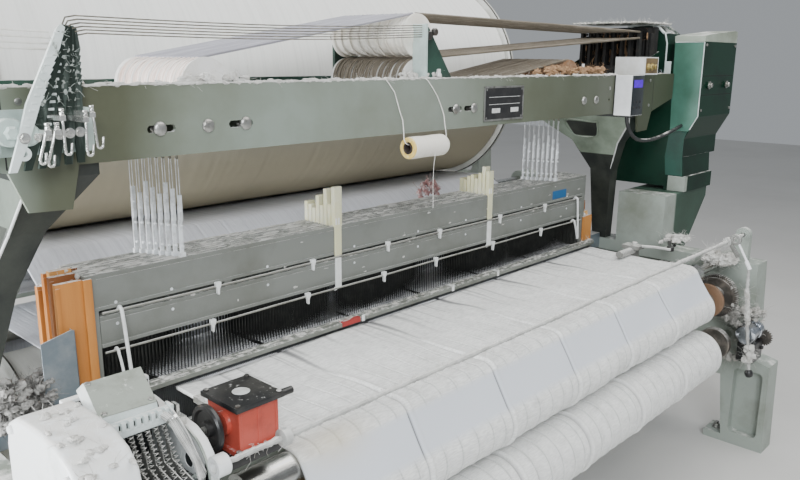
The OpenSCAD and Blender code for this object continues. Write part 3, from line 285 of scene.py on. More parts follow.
# --- Counter hose --------------------------------------------------------------
# The counter's cable runs in a stiff black plastic hose that hangs in a slack curve in front of
# the beam, from under the counter to the dobby's front.
black_hose = surface("black_hose", (0.014, 0.015, 0.016), (0.04, 0.04, 0.04), 0.45, scale=30, dust=0.4)
hose_line = mm([(1112, -540, 1536), (1113, -540, 1518), (1118, -541, 1496), (1130, -543, 1472),
                (1150, -545, 1450), (1178, -546, 1432), (1212, -546, 1419), (1252, -546, 1411),
                (1296, -545, 1407), (1342, -544, 1406), (1388, -544, 1408), (1434, -545, 1412),
                (1480, -546, 1418), (1526, -548, 1426), (1572, -550, 1435), (1618, -552, 1445),
                (1664, -554, 1455)])
hose = piece("counter_hose", [swept(hose_line, 0.0085, 12)], black_hose, "root")


# --- Floor and light -------------------------------------------------------
# A plain pale floor and four large soft lights stand for the studio; none is part of the loom.
floor_mesh = bpy.data.meshes.new("studio_floor")
floor_mesh.from_pydata([(-14, -9, 0), (16, -9, 0), (16, 18, 0), (-14, 18, 0)], [], [(0, 1, 2, 3)])
floor = bpy.data.objects.new("studio_floor", floor_mesh)
bpy.context.scene.collection.objects.link(floor)
floor_mesh.materials.append(surface("studio_floor", (0.62, 0.61, 0.59), (0.57, 0.56, 0.54), 0.75, scale=0.6,
                                    grain=60, relief=0.05))


def soft_light(name, place, aim, size, power, colour):
    """A square area light that points at aim."""
    data = bpy.data.lights.new(name, "AREA")
    data.shape, data.size, data.energy, data.color = "SQUARE", size, power, colour
    lamp = bpy.data.objects.new(name, data)
    lamp.location = place
    lamp.rotation_euler = (Vector(aim) - Vector(place)).to_track_quat("-Z", "Y").to_euler()
    bpy.context.scene.collection.objects.link(lamp)


soft_light("window", (-4.6, -5.2, 4.4), (0, -0.6, 1.0), 3.2, 490, (0.93, 0.97, 1.0))
soft_light("ceiling", (1.0, -1.6, 5.2), (0, -0.4, 1.0), 4.5, 235, (1.0, 0.99, 0.96))
soft_light("back", (-2.5, 4.8, 3.8), (0, 0.3, 1.0), 3.0, 160, (1.0, 0.97, 0.92))
soft_light("side", (-4.6, 0.2, 1.5), (-0.8, 0.25, 1.15), 1.8, 380, (0.95, 0.98, 1.0))
world = bpy.data.worlds.new("studio")
world.use_nodes = True
world.node_tree.nodes["Background"].inputs[0].default_value = (0.9, 0.95, 1.0, 1)
world.node_tree.nodes["Background"].inputs[1].default_value = 0.37
bpy.context.scene.world = world


# --- Side frames and ties --------------------------------------------------------
# Two heavy grey-green castings stand on bolted feet and are tied together by square tubes. The
# paint is dulled by oil and lint lies on every ledge.
FOOT_BOLTS = [(x, y) for x in (-1.53, 1.53) for y in (-0.92, 0.56)]
BEARINGS = ((-0.87, 0.862, 0.036), (-0.914, 0.74, 0.036), (-0.945, 0.536, 0.036), (0.64, 1.65, 0.07),
            (0.42, 0.5, 0.07), (0.25, 1.12, 0.034), (0.62, 0.843, 0.034))
machine_paint, right_frame_paint = (surface(name, (0.3, 0.335, 0.3), (0.17, 0.185, 0.145), 0.5, scale=3.2,
                                            grain=240, relief=0.2, dust=share, dust_scale=14)
                                    for name, share in (("machine_paint", 0.6), ("right_frame_paint", 0.4)))


def along_x(mat, stops):
    """Deepens or lightens a finish across the loom: stops are (place, tint) pairs."""
    low, high = stops[0][0], stops[-1][0]
    tint = add_node(mat, "ValToRGB", {0: ranged(mat, place_on(mat, "X"), low, high)})[0]
    points = tint.node.color_ramp.elements
    while len(points) < len(stops):
        points.new(0.5)
    for point, (at, shade) in zip(points, stops):
        point.position = (at - low) / (high - low)
        point.color = (*(0.5 * c for c in shade), 1)
    tinted = mixed(mat, 1.0, colour_of(mat), tint, "MULTIPLY")
    doubled = add_node(mat, "VectorMath", {0: tinted, 3: 2.0}, operation="SCALE")[0]
    fill(mat, shader_of(mat), {"Base Color": doubled})


def head(radius, height, top=None, top_radius=None):
    """Outline of a plain head, with an eased edge if a top is given."""
    return [(0, radius), (height, radius)] + ([(top, top_radius)] if top else [])


along_x(right_frame_paint, ((1.4, (1.0, 1.0, 1.0)), (1.585, (1.0, 1.0, 1.0)), (1.6, (0.1, 0.2, 0.15)),
                            (2.1, (0.08, 0.16, 0.12))))
bolt_steel = surface("bolt_steel", (0.44, 0.44, 0.42), (0.2, 0.19, 0.17), 0.35, metal=0.9, scale=40)
coat(machine_paint, "frame_left", "cross_ties")
coat(right_frame_paint, "frame_right")
anchors = [turned((x, y, z), UP, outline, sides) for x, y in FOOT_BOLTS
           for z, outline, sides in ((0.034, head(0.021, 0.003, 0.0035, 0.0195), 28),
                                     (0.0375, head(0.0155, 0.012, 0.014, 0.0135), 6),
                                     (0.05, head(0.009, 0.012, 0.0135, 0.0075), 16))]
piece("anchor_bolts", anchors, bolt_steel, "root")
caps = []
for s in (-1, 1):
    for y, z, r in BEARINGS:
        caps.append(turned((s * 1.5895, y, z), (s, 0, 0),
                           [(0, r), (0.008, r), (0.011, r - 0.003), (0.011, 0.4 * r), (0.006, 0.36 * r)], 36))
        for k in range(4):
            a = math.pi * (k / 2 + 0.25)
            caps.append(turned((s * 1.6, y + 0.76 * r * math.cos(a), z + 0.76 * r * math.sin(a)), (s, 0, 0),
                               head(0.0055, 0.004, 0.0052, 0.0042), 6))
piece("bearing_covers", caps, machine_paint, "root", smooth=30)


# --- Heald frames --------------------------------------------------------------
# Eight frames of extruded alloy rails hang one behind the other, each full of flat steel healds.
# Plastic slips keep the frames apart, perforated hangers lift them, and the front one carries
# two thin rods on white plastic hooks.
FRAME_PITCH, FRAME_HALF_T, FRAME_HALF = 0.019, 0.006, 1.215
FRAME_Y = [-0.3 + n * FRAME_PITCH for n in range(8)]
FRONT_FACE = FRAME_Y[0] - FRAME_HALF_T
RAIL_TOP, RAIL_FOOT, LOWER_TOP, LOWER_FOOT, SILL_TOP, SILL_FOOT = 1.232, 1.136, 1.12, 1.036, 0.718, 0.642
HEALD_PITCH, HEALD_WIDTH, HEALDS_END = 0.0104, 0.0012, 1.17
SLIP_X = (-0.375, 0.452)
SLIP_RISE = ((128, 96), (70, 112), (118, 84), (62, 60), (92, 74), (48, 66), (58, 50), (66, 54))
HANGER_X, HANGER_STEP = (-0.97, 0.92), 0.0088
rail_alloy = surface("rail_alloy", (0.219, 0.228, 0.209), (0.167, 0.172, 0.149), 0.5, metal=0.25, scale=4,
                     grain=260, relief=0.25, dust=0.7, dust_scale=30)
heald_steel = surface("heald_steel", (0.02, 0.021, 0.02), (0.05, 0.05, 0.045), 0.45, metal=0.5, scale=30)
slip_plastic = surface("slip_plastic", (0.66, 0.64, 0.42), (0.72, 0.7, 0.55), 0.35, scale=9)
fill(slip_plastic, shader_of(slip_plastic),
     {"Subsurface Weight": 0.35, "Subsurface Radius": (0.01, 0.008, 0.004)})
white_plastic = surface("white_plastic", (0.8, 0.81, 0.8), (0.68, 0.68, 0.65), 0.4, scale=24)
galvanised = surface("galvanised", (0.8, 0.82, 0.84), (0.55, 0.56, 0.56), 0.4, metal=0.15, scale=40, dust=0.5,
                     dust_scale=60)


def prism(section, low, high, axis="x"):
    """An outline made solid between two places along X or along Y."""
    n = len(section)
    points = [((at, u, v) if axis == "x" else (u, at, v)) for at in (low, high) for u, v in section]
    faces = [(k, (k + 1) % n, n + (k + 1) % n, n + k) for k in range(n)]
    return points, faces + [tuple(range(n - 1, -1, -1)), tuple(range(n, 2 * n))]


def rail(y, low, high, half):
    """An extruded rail with a drawn line along both edges of each face and a slot in its top."""
    t = FRAME_HALF_T
    face = [(t, low), (t, low + 0.009), (t - 0.0013, low + 0.01), (t - 0.0013, low + 0.0125),
            (t, low + 0.0135), (t, high - 0.0135), (t - 0.0013, high - 0.0125), (t - 0.0013, high - 0.01),
            (t, high - 0.009), (t, high), (0.0022, high), (0.0022, high - 0.005)]
    section = [(y + u, v) for u, v in face] + [(y - u, v) for u, v in reversed(face)]
    return prism(section, -half, half)


def smooth_line(points, steps=4):
    """Points on a smooth curve through the given ones."""
    p = [np.array(q, float) for q in points]
    p = [2 * p[0] - p[1]] + p + [2 * p[-1] - p[-2]]
    out = []
    for i in range(1, len(p) - 2):
        for s in range(steps):
            t = s / steps
            out.append(tuple(0.5 * (2 * p[i] + (p[i + 1] - p[i - 1]) * t
                                    + (2 * p[i - 1] - 5 * p[i] + 4 * p[i + 1] - p[i + 2]) * t ** 2
                                    + (3 * p[i] - p[i - 1] - 3 * p[i + 1] + p[i + 2]) * t ** 3)))
    return out + [tuple(p[-2])]


draw = random.Random(11)
HOOK_FACE = ((-9, 9), (-7, 11), (7, 11), (9, 9), (8.5, -1), (5, -7), (3.6, -13), (3.2, -23), (0, -27),
             (-3.2, -23), (-3.6, -13), (-5, -7), (-8.5, -1))
for n, y in enumerate(FRAME_Y):
    body, number = "heald_frame_%d" % (n + 1), "_%d" % (n + 1)
    front, back = y - FRAME_HALF_T, y + FRAME_HALF_T
    rails = [rail(y, low, high, half) for low, high, half in ((RAIL_FOOT, RAIL_TOP, FRAME_HALF),
                                                              (LOWER_FOOT, LOWER_TOP, FRAME_HALF - 0.03),
                                                              (SILL_FOOT, SILL_TOP, FRAME_HALF))]
    rails += [slab((x - 0.014, front + 0.0004, SILL_FOOT), (x + 0.014, back - 0.0004, RAIL_TOP - 0.001))
              for x in (-1.2, 1.2)]
    rails += [slab((x - 0.012, front + 0.001, LOWER_TOP - 0.003),
                   (x + 0.012, back - 0.001, RAIL_FOOT + 0.003)) for x in (-0.8, 0, 0.8)]
    rail_set = piece("heald_rails" + number, rails, rail_alloy, body, 0.0007, 1)
    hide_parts(body)
    healds, x = [], -HEALDS_END + 0.0013 * n
    while x < HEALDS_END:
        healds.append(slab((x - HEALD_WIDTH, y - 0.0006, SILL_TOP - 0.004),
                           (x + HEALD_WIDTH, y + 0.0006, LOWER_FOOT + 0.004)))
        x += HEALD_PITCH
    piece("healds" + number, healds, heald_steel, body)
    hangers, top = [], 1.372 + 0.016 * (n % 3)
    for hook in HANGER_X:
        x = hook + (3.5 - n) * HANGER_STEP
        hangers += [slab((x - 0.0056, y - 0.0021, 1.226), (x + 0.0056, y + 0.0021, top)),
                    slab((x - 0.004, y - 0.0052, 1.33), (x + 0.0064, y - 0.0019, top + 0.03)),
                    slab((x - 0.009, y - 0.0055, 1.224), (x + 0.009, y + 0.0055, 1.244))]
        hangers += [swept([(x + dx, y, top - 0.01), (x + 0.9 * dx, y, 1.47), (x + 0.7 * dx, y, 1.512)],
                          0.0013, 6) for dx in (-0.0042, 0.0042)]
        hangers += [turned((x + 0.001, y - 0.009, bolt), REAR,
                           [(0, 0.0034), (0.001, 0.0042), (0.012, 0.0042)], 6)
                    for bolt in (1.262, 1.318, top - 0.012)]
    piece("hangers" + number, hangers, galvanised, body, 0.0004, 1)
    slips, pegs = [], []
    for x, rise in zip(SLIP_X, SLIP_RISE[n]):
        foot = LOWER_FOOT - 0.016
        slips.append(slab((x - 0.0168, front - 0.0048, RAIL_TOP - 0.004),
                          (x + 0.0168, back - 0.0006, RAIL_TOP + rise / 1000)))
        if n == 0:
            slips.append(slab((x - 0.0148, front - 0.0046, RAIL_FOOT - 0.004),
                              (x + 0.0148, front + 0.0004, RAIL_TOP)))
            pegs.append(slab((x - 0.0128, front - 0.004, foot),
                             (x + 0.0128, front + 0.0004, RAIL_FOOT - 0.008)))
            pegs.append(slab((x - 0.02, front - 0.0056, foot - 0.003),
                             (x - 0.01, front - 0.001, foot + 0.007)))
        pegs += [slab((x + dx, front - 0.0062, RAIL_TOP + 0.004),
                      (x + dx + 0.006, front - 0.003, RAIL_TOP + 0.026)) for dx in (-0.0125, -0.001)]
    piece("frame_slips" + number, slips, slip_plastic, body, 0.0028, 3)
    piece("slip_pegs" + number, pegs, white_plastic, body, 0.001, 2)
rod_y, HIGH_ROD, LOW_ROD = FRONT_FACE - 0.0042, 1.1285, 1.0225
heald_rod = surface("heald_rod", (0.34, 0.34, 0.3), (0.2, 0.19, 0.16), 0.5, metal=0.4, scale=12, dust=0.9,
                    dust_scale=70)
rods, hooks = [], []
for z, places in ((HIGH_ROD, (-0.839, -0.486, -0.144, 0.137, 0.52, 0.857)),
                  (LOW_ROD, (-0.862, -0.51, -0.163, 0.117, 0.477, 0.834))):
    rods.append(swept([(x, rod_y, z + 0.0008 * math.sin(9 * x)) for x in np.linspace(-1.18, 1.18, 40)],
                      0.0032, 8))
    for x in places:
        lean = draw.uniform(-0.07, 0.07)
        face = [(x + (u - lean * v) / 1000, z + 0.002 + v / 1000) for u, v in HOOK_FACE]
        hooks += [prism(face, rod_y - 0.0065, rod_y + 0.0035, "y"),
                  slab((x - 0.004, rod_y + 0.002, z + 0.002), (x + 0.004, FRONT_FACE + 0.001, z + 0.01))]
piece("heald_rods", rods, heald_rod, "heald_frame_1")
piece("rod_hooks", hooks, white_plastic, "heald_frame_1", 0.0022, 3)
blue_tape = surface("blue_tape", (0.01, 0.11, 0.28), (0.006, 0.07, 0.2), 0.45, scale=20)
piece("frame_tape", [slab((0.925, FRONT_FACE - 0.0006, 1.15), (1.04, FRONT_FACE + 0.0002, 1.187))], blue_tape,
      "heald_frame_1", 0.0002, 1)
rivets = [turned((x, FRONT_FACE - 0.0016, z), REAR, [(0, 0.0022), (0.0008, 0.0042), (0.002, 0.0044)], 14)
          for x in (-1.14, -0.981, -0.66, -0.3, 0.02, 0.3, 0.68, 1.05) for z in (1.093, 1.15)]
piece("rail_rivets", rivets, galvanised, "heald_frame_1")
hook_rods = []
for x0, x1, foot, rod_z, thick in ((-1.133, -1.122, 0.961, HIGH_ROD, 0.005),
                                   (-1.15, -1.141, 0.95, LOW_ROD, 0.0038),
                                   (1.122, 1.137, 0.94, HIGH_ROD, 0.0048),
                                   (1.108, 1.131, 0.94, LOW_ROD, 0.0048)):
    over = rod_z + 0.0034 + thick
    hook_rods.append(swept(smooth_line([(x1, rod_y - 0.014, foot),
                                        (0.5 * (x0 + x1), rod_y - 0.0125, 0.5 * (foot + over)),
                                        (x0 + 0.001, rod_y - 0.0105, over - 0.016),
                                        (x0, rod_y - 0.0085, over - 0.005), (x0, rod_y, over),
                                        (x0, rod_y + 0.0072, over - 0.006),
                                        (x0, rod_y + 0.0078, over - 0.011)]), thick, 10))
piece("reed_hook_rods", hook_rods, white_plastic, "heald_frame_1")


# --- End guides --------------------------------------------------------------
# Each frame's ends slide between oiled hardwood boards of uneven height, screwed to a steel
# bracket on either side. Lint gathers on them and heaps up beside the left bracket.
LEFT_TOPS = (1.226, 1.212, 1.236, 1.246, 1.238, 1.206, 1.198, 1.19)
RIGHT_TOPS = (1.032, 1.052, 1.098, 1.108, 1.1, 1.108, 1.09, 1.1)
OUTER_STEP = (0.0, 0.01, 0.003, 0.012, 0.005, 0.014, 0.002, 0.009)
GUIDE_FOOT = 0.905
wood = [surface("guide_wood_%d" % k, base, patch, 0.5, scale=7, grain=120, relief=0.3, stretch=(1, 1, 0.1),
                dust=0.8, dust_scale=90) for k, (base, patch) in enumerate(
            (((0.56, 0.235, 0.055), (0.38, 0.13, 0.025)), ((0.72, 0.42, 0.15), (0.52, 0.22, 0.05)),
             ((0.3, 0.11, 0.028), (0.16, 0.055, 0.018))))]
sheet_steel = surface("sheet_steel", (0.2, 0.24, 0.27), (0.3, 0.33, 0.35), 0.4, metal=0.5, scale=14, dust=0.9,
                      dust_scale=30)
lint_fluff = surface("lint_fluff", (0.66, 0.65, 0.62), (0.42, 0.4, 0.36), 1.0, scale=30, grain=900,
                     relief=1.0)
brown_lint = surface("brown_lint", (0.4, 0.25, 0.14), (0.2, 0.11, 0.06), 1.0, scale=30, grain=900, relief=1.0)
ball = bmesh.new()
bmesh.ops.create_icosphere(ball, subdivisions=2, radius=1.0)
BALL_POINTS = [v.co.copy() for v in ball.verts]
BALL_FACES = [tuple(v.index for v in f.verts) for f in ball.faces]
ball.free()


def lint(name, tufts, body, seed, hairs=3, hair_length=0.02, material=None):
    """Caught lint: ragged tufts, each a (place, size) pair, with loose fibres."""
    draw, noise = random.Random(seed), mathutils.noise.noise
    forms = []
    for place, size in tufts:
        shift = Vector((draw.uniform(0, 90), draw.uniform(0, 90), draw.uniform(0, 90)))
        at, size = Vector(place), Vector(size)
        ragged = [1 + 0.55 * noise(d * 1.9 + shift) + 0.45 * noise(d * 4.7 + shift) for d in BALL_POINTS]
        forms.append(([tuple(at + d * size * r) for d, r in zip(BALL_POINTS, ragged)], BALL_FACES))
        for _ in range(hairs):
            d = Vector((draw.gauss(0, 1), draw.gauss(0, 1), draw.gauss(0.3, 1))).normalized()
            start = at + d * size * 0.8
            bend = Vector((draw.gauss(0, 1), draw.gauss(0, 1), draw.gauss(0, 1))) * 0.5
            reach = hair_length * draw.uniform(0.5, 1.3)
            forms.append(swept([start + d * reach * t + bend * reach * t * t for t in (0, 0.35, 0.7, 1.0)],
                               0.00035, 3))
    return piece(name, forms, material or lint_fluff, body)


def strewn(draw, count, *ranges):
    """Tufts strewn in a box: six numbers or (from, to) ranges give each one's place and size."""
    drawn = [[draw.uniform(*r) if isinstance(r, tuple) else r for r in ranges] for _ in range(count)]
    return [(tuft[:3], tuft[3:]) for tuft in drawn]


for s, side, tops in ((-1, "left", LEFT_TOPS), (1, "right", RIGHT_TOPS)):
    by_colour = ([], [], [])
    inner, outer = s * 1.222, [s * (1.289 - step) for step in OUTER_STEP]
    cheek = sorted((s * 1.2005, s * 1.2225))
    for n, (y, top, tone) in enumerate(zip(FRAME_Y, tops, (0, 1, 2, 1, 0, 2, 0, 2))):
        half_t = FRAME_PITCH / 2 - (0.0006 if n % 2 else 0.0022)
        board, lip = sorted((inner, outer[n])), sorted((outer[n], outer[n] - s * 0.012))
        by_colour[tone].append(slab((board[0], y - half_t, GUIDE_FOOT), (board[1], y + half_t, top)))
        by_colour[(tone + 1) % 3].append(slab((cheek[0], y + 0.0066, GUIDE_FOOT),
                                              (cheek[1], y + 0.0124, top - 0.006)))
        by_colour[tone].append(slab((lip[0], y - half_t - 0.0012, GUIDE_FOOT),
                                    (lip[1], y + half_t, top - 0.01)))
    by_colour[0].append(slab((cheek[0], FRAME_Y[0] - 0.014, GUIDE_FOOT),
                             (cheek[1], FRAME_Y[0] - 0.0066, tops[0])))
    made = [piece("guide_boards_%s_%d" % (side, k + 1), by_colour[k], wood[k], "root", 0.0016, 2)
            for k in range(3)]
    foot, ledge = sorted((s * 1.235, s * 1.47)), sorted((s * 1.215, s * 1.31))
    piece("guide_foot_" + side, [slab((foot[0], -0.262, 0.83), (foot[1], -0.196, GUIDE_FOOT)),
                                 slab((ledge[0], -0.316, 0.896), (ledge[1], -0.15, 0.906))], sheet_steel,
          "root", 0.002, 2)
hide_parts("heald_guides")
piece("guide_sheet", [prism([(-1.345, 0.9), (-1.262, 0.9), (-1.262, 1.113), (-1.272, 1.115), (-1.345, 1.098)],
                            -0.332, -0.33, "y"), slab((-1.264, -0.332, 0.9), (-1.262, -0.3, 1.111)),
                      slab((-1.345, -0.332, 0.9045), (-1.262, -0.24, 0.9065))], sheet_steel, "root",
      0.0006, 1)
heap_lint = surface("heap_lint", (0.4, 0.39, 0.37), (0.1, 0.095, 0.088), 1.0, scale=42, patch_from=0.42,
                    patch_to=0.6, grain=900, relief=1.0)
heap = random.Random(3)
heap_tufts = [((-1.315 - heap.uniform(0, 0.135), -0.3 - heap.uniform(-0.035, 0.05),
                GUIDE_FOOT + heap.uniform(0, 1) ** 1.6 * 0.11),
               (heap.uniform(0.005, 0.014), heap.uniform(0.005, 0.014), heap.uniform(0.004, 0.011)))
              for _ in range(230)]
lint("lint_heap_left", heap_tufts, "root", 4, 6, 0.018, heap_lint)
guide_tufts = mm([(-1255, -255, 1214, 16, 12, 8), (-1262, -225, 1208, 12, 12, 8),
                  (-1225, -290, 1232, 6, 8, 10), (-1236, -245, 1240, 7, 8, 7), (-1268, -198, 1202, 12, 12, 6),
                  (1222, -300, 1040, 6, 8, 10), (1232, -262, 1104, 8, 10, 6)])
lint("lint_on_guides", [(tuft[:3], tuft[3:]) for tuft in guide_tufts], "root", 5, 4, 0.014)
RAG = ((0.205, 1.238), (0.228, 1.262), (0.236, 1.25), (0.262, 1.27), (0.28, 1.256), (0.3, 1.262),
       (0.288, 1.238))
rag_red = surface("rag_red", (0.3, 0.15, 0.14), (0.55, 0.5, 0.49), 0.9, scale=40, relief=0.8)
draw = random.Random(21)
for k in range(3):
    waste = [((x + draw.uniform(-0.006, 0.006), -0.158 + 0.009 * k + 0.004 * math.sin(40 * x + k),
               z + 0.01 * k - 0.004), (0.013, 0.008, 0.011)) for x, z in RAG]
    lint("yarn_waste_%d" % (k + 1), waste, "heald_frame_8", 31 + k, 6, 0.02, rag_red)
rail_lint = random.Random(8)
for n, y in enumerate(FRAME_Y):
    tufts = [((rail_lint.uniform(-1.2, 1.2), y + rail_lint.uniform(-0.0024, 0.0024), RAIL_TOP + 0.0008),
              (rail_lint.uniform(0.006, 0.03), 0.0032, rail_lint.uniform(0.001, 0.0024))) for _ in range(46)]
    for _ in range(34 if n == 0 else 0):
        x = rail_lint.uniform(-1.18, 1.18)
        z = rail_lint.choice((LOWER_TOP + 0.0006, rail_lint.uniform(LOWER_FOOT + 0.01, RAIL_TOP - 0.01)))
        tufts.append(((x, FRONT_FACE - 0.0004, z),
                      (rail_lint.uniform(0.002, 0.01), 0.001, rail_lint.uniform(0.001, 0.004))))
    lint("rail_lint_%d" % (n + 1), tufts, "heald_frame_%d" % (n + 1), 50 + n, 1, 0.01)


# --- Sley and reed -------------------------------------------------------------
# The sley is a hollow beam on four swords that rock on one shaft. The reed stands in it: flat
# steel dents between two baulks, with a double alloy cap along its top.
REED_LEFT, REED_RIGHT, REED_Y, CAP_TOP = -1.172, 1.152, -0.384, 0.942
DENT_PITCH = 0.0058
sley_paint = surface("sley_paint", (0.22, 0.235, 0.215), (0.12, 0.12, 0.1), 0.5, metal=0.2, scale=5, dust=0.8,
                     dust_scale=30)
coat(sley_paint, "sley")
cap_alloy = surface("cap_alloy", (0.215, 0.225, 0.2), (0.13, 0.135, 0.115), 0.4, metal=0.4, scale=7,
                    grain=300, dust=0.45, dust_scale=50)
dent_steel = surface("dent_steel", (0.26, 0.27, 0.28), (0.16, 0.16, 0.15), 0.35, metal=0.8, scale=30)
cap_front, cap_rear = ([(REED_Y + y / 1000, CAP_TOP - z / 1000) for y, z in line]
                       for line in (((-18.5, 17), (-5, 17), (-5, 2.5), (-6.5, 1), (-17, 3), (-18.5, 5)),
                                    ((-1.5, 15), (14.5, 15), (14.5, 2), (13, 0), (-0.2, 0), (-1.5, 1.6))))
reed_cap = piece("reed_cap", [prism(cap_front, REED_LEFT, REED_RIGHT), prism(cap_rear, REED_LEFT, REED_RIGHT),
                              slab((REED_LEFT + 0.002, REED_Y - 0.012, CAP_TOP - 0.016),
                                   (REED_RIGHT - 0.002, REED_Y + 0.01, CAP_TOP - 0.01))], cap_alloy, "sley",
                 0.0006, 1)
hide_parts("reed")
dents = [slab((REED_LEFT, REED_Y - 0.0098, 0.77), (REED_RIGHT, REED_Y + 0.0098, 0.8))]
dents += [slab((x, REED_Y - 0.008, 0.796), (x + 0.018, REED_Y + 0.006, CAP_TOP - 0.016))
          for x in (REED_LEFT, REED_RIGHT - 0.018)]
x = REED_LEFT + 0.024
while x < REED_RIGHT - 0.024:
    dents.append(slab((x - 0.0004, REED_Y - 0.0055, 0.798), (x + 0.0004, REED_Y + 0.0035, CAP_TOP - 0.013)))
    x += DENT_PITCH
piece("reed_dents", dents, dent_steel, "sley")
red_tape = surface("red_tape", (0.36, 0.035, 0.03), (0.26, 0.03, 0.025), 0.5, scale=60)
piece("cap_tape", [slab((-0.446, REED_Y - 0.019, CAP_TOP - 0.0035),
                        (-0.366, REED_Y - 0.003, CAP_TOP - 0.0004)),
                   slab((-0.446, REED_Y - 0.0192, CAP_TOP - 0.0165),
                        (-0.366, REED_Y - 0.0182, CAP_TOP - 0.003))], red_tape, "sley", 0.0003, 1)
piece("cap_clips", [slab((x - 0.006, REED_Y - 0.0215, CAP_TOP - foot),
                         (x + 0.006, REED_Y + back, CAP_TOP + 0.004))
                    for foot, back, places in ((0.018, -0.018, (0.11, -0.354, 0.392)),
                                               (-0.0002, 0.002, (0.11, 0.392))) for x in places],
      white_plastic, "sley", 0.001, 2)
cap_fluff = random.Random(14)
cap_tufts = [((cap_fluff.uniform(REED_LEFT, REED_RIGHT), REED_Y + cap_fluff.choice((-0.012, 0.008, -0.003)),
               CAP_TOP - 0.0005), (cap_fluff.uniform(0.004, 0.018), 0.004, cap_fluff.uniform(0.001, 0.0026)))
             for _ in range(90)]
lint("lint_on_cap", cap_tufts, "sley", 15, 2, 0.012)


# --- Warp beams and warp -----------------------------------------------------------
# The white pile warp comes from a big flanged beam high at the back and the ground warp from
# a smaller one below it. Both sheets of threads run over bright rollers to the healds, and each
# thread goes through a heald eye and a gap in the reed to the cloth's edge.
PILE_BEAM, GROUND_BEAM, BEAM_HALF = (0.64, 1.65, 0.485), (0.42, 0.5, 0.3), 1.1996
HIGH_ROLLER, LOW_ROLLER, ROLLER_R = (0.25, 1.12), (0.62, 0.843), 0.06
SHEET_HALF, SHEET_END, WARP_Z, EYE_Z = 1.17, -0.145, 0.9074, 0.911
SHED_LEFT, SHED_RIGHT, THREAD_PITCH, THREAD_R = -1.034, 1.122, 0.0078, 0.00042
TOWEL_WIDTH, FELL_Y, BARREL = 0.361, -0.3985, 0.0853
warp_white = surface("warp_white", (0.72, 0.73, 0.78), (0.6, 0.61, 0.66), 0.85, scale=3, grain=260,
                     relief=0.5, stretch=(60, 1, 1))
flange_paint = surface("flange_paint", (0.66, 0.66, 0.63), (0.5, 0.49, 0.44), 0.4, metal=0.2, scale=5,
                       dust=0.5)
rim_dark = surface("rim_dark", (0.05, 0.048, 0.042), (0.12, 0.11, 0.095), 0.5, metal=0.5, scale=12)
bright_steel = surface("bright_steel", (0.58, 0.58, 0.56), (0.34, 0.33, 0.31), 0.25, metal=1.0, scale=9,
                       grain=300, relief=0.08, stretch=(0.3, 3, 3))


def wound_finish_with_painted_shade(name, clean, shade, low, high):
    """Wound white warp, darkened to warm brown towards the roll's underside: painted shade."""
    mat = surface(name, clean, tuple(0.9 * c for c in clean), 0.85, scale=2.2, grain=240, relief=0.45,
                  stretch=(40, 1, 1))
    # The brown share rises towards the underside: painted shade under the roll.
    painted_shade_share = ranged(mat, place_on(mat, "Z"), high, low, interpolation_type="SMOOTHSTEP")
    fill(mat, shader_of(mat), {"Base Color": mixed(mat, painted_shade_share, colour_of(mat), (*shade, 1))})
    return mat


def wound_roll(name, beam, sides, seed, material):
    """A warp wound on its barrel, its layers lying in low uneven rings."""
    draw, (y, z, radius), width, steps = random.Random(seed), beam, 2 * BEAM_HALF, 230
    outline = [(0.0, BARREL), (0.0, radius - 0.008), (0.006, radius - 0.001)]
    outline += [(0.006 + (width - 0.012) * k / steps, radius - 0.0012 + 0.0008 * math.sin(k * 0.11)
                 - (0.0012 if k % 23 == 0 else 0) + draw.uniform(-0.0005, 0.0004)) for k in range(1, steps)]
    outline += [(width - 0.006, radius - 0.001), (width, radius - 0.008), (width, BARREL)]
    made = piece(name + "_winding", [turned((-BEAM_HALF, y, z), ACROSS, outline, sides, ring=True)], material,
                 name + "_beam", smooth=60)
    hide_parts(name + "_warp")


# Both windings turn brown towards their undersides: painted shade.
wound_roll("pile", PILE_BEAM, 96, 41,
           wound_finish_with_painted_shade("pile_yarn", (0.82, 0.82, 0.79), (0.6, 0.535, 0.38), 1.34, 1.72))
wound_roll("ground", GROUND_BEAM, 72, 42,
           wound_finish_with_painted_shade("ground_yarn", (0.72, 0.71, 0.66), (0.34, 0.3, 0.21), 0.2, 0.55))
coat(flange_paint, "pile_beam", "ground_beam")
coat(bright_steel, "pile_roller", "ground_roller")
for name, (y, z, _), flange in (("pile", PILE_BEAM, 0.51), ("ground", GROUND_BEAM, 0.34)):
    rims, bolts = [], []
    for s in (-1, 1):
        rims.append(turned((s * 1.2, y, z), (s, 0, 0), [(0.003, flange - 0.006), (0.003, flange + 0.0008),
                                                        (0.0085, flange + 0.0012), (0.0085, flange - 0.006)],
                           96, ring=True))
        bolts += [turned((s * 1.211, y + 0.115 * math.cos(a), z + 0.115 * math.sin(a)), (s, 0, 0),
                         head(0.01, 0.009, 0.011, 0.008), 6)
                  for a in [2 * math.pi * k / 10 for k in range(10)]]
    piece(name + "_flange_rims", rims, rim_dark, name + "_beam")
    piece(name + "_flange_bolts", bolts, bright_steel, name + "_beam")


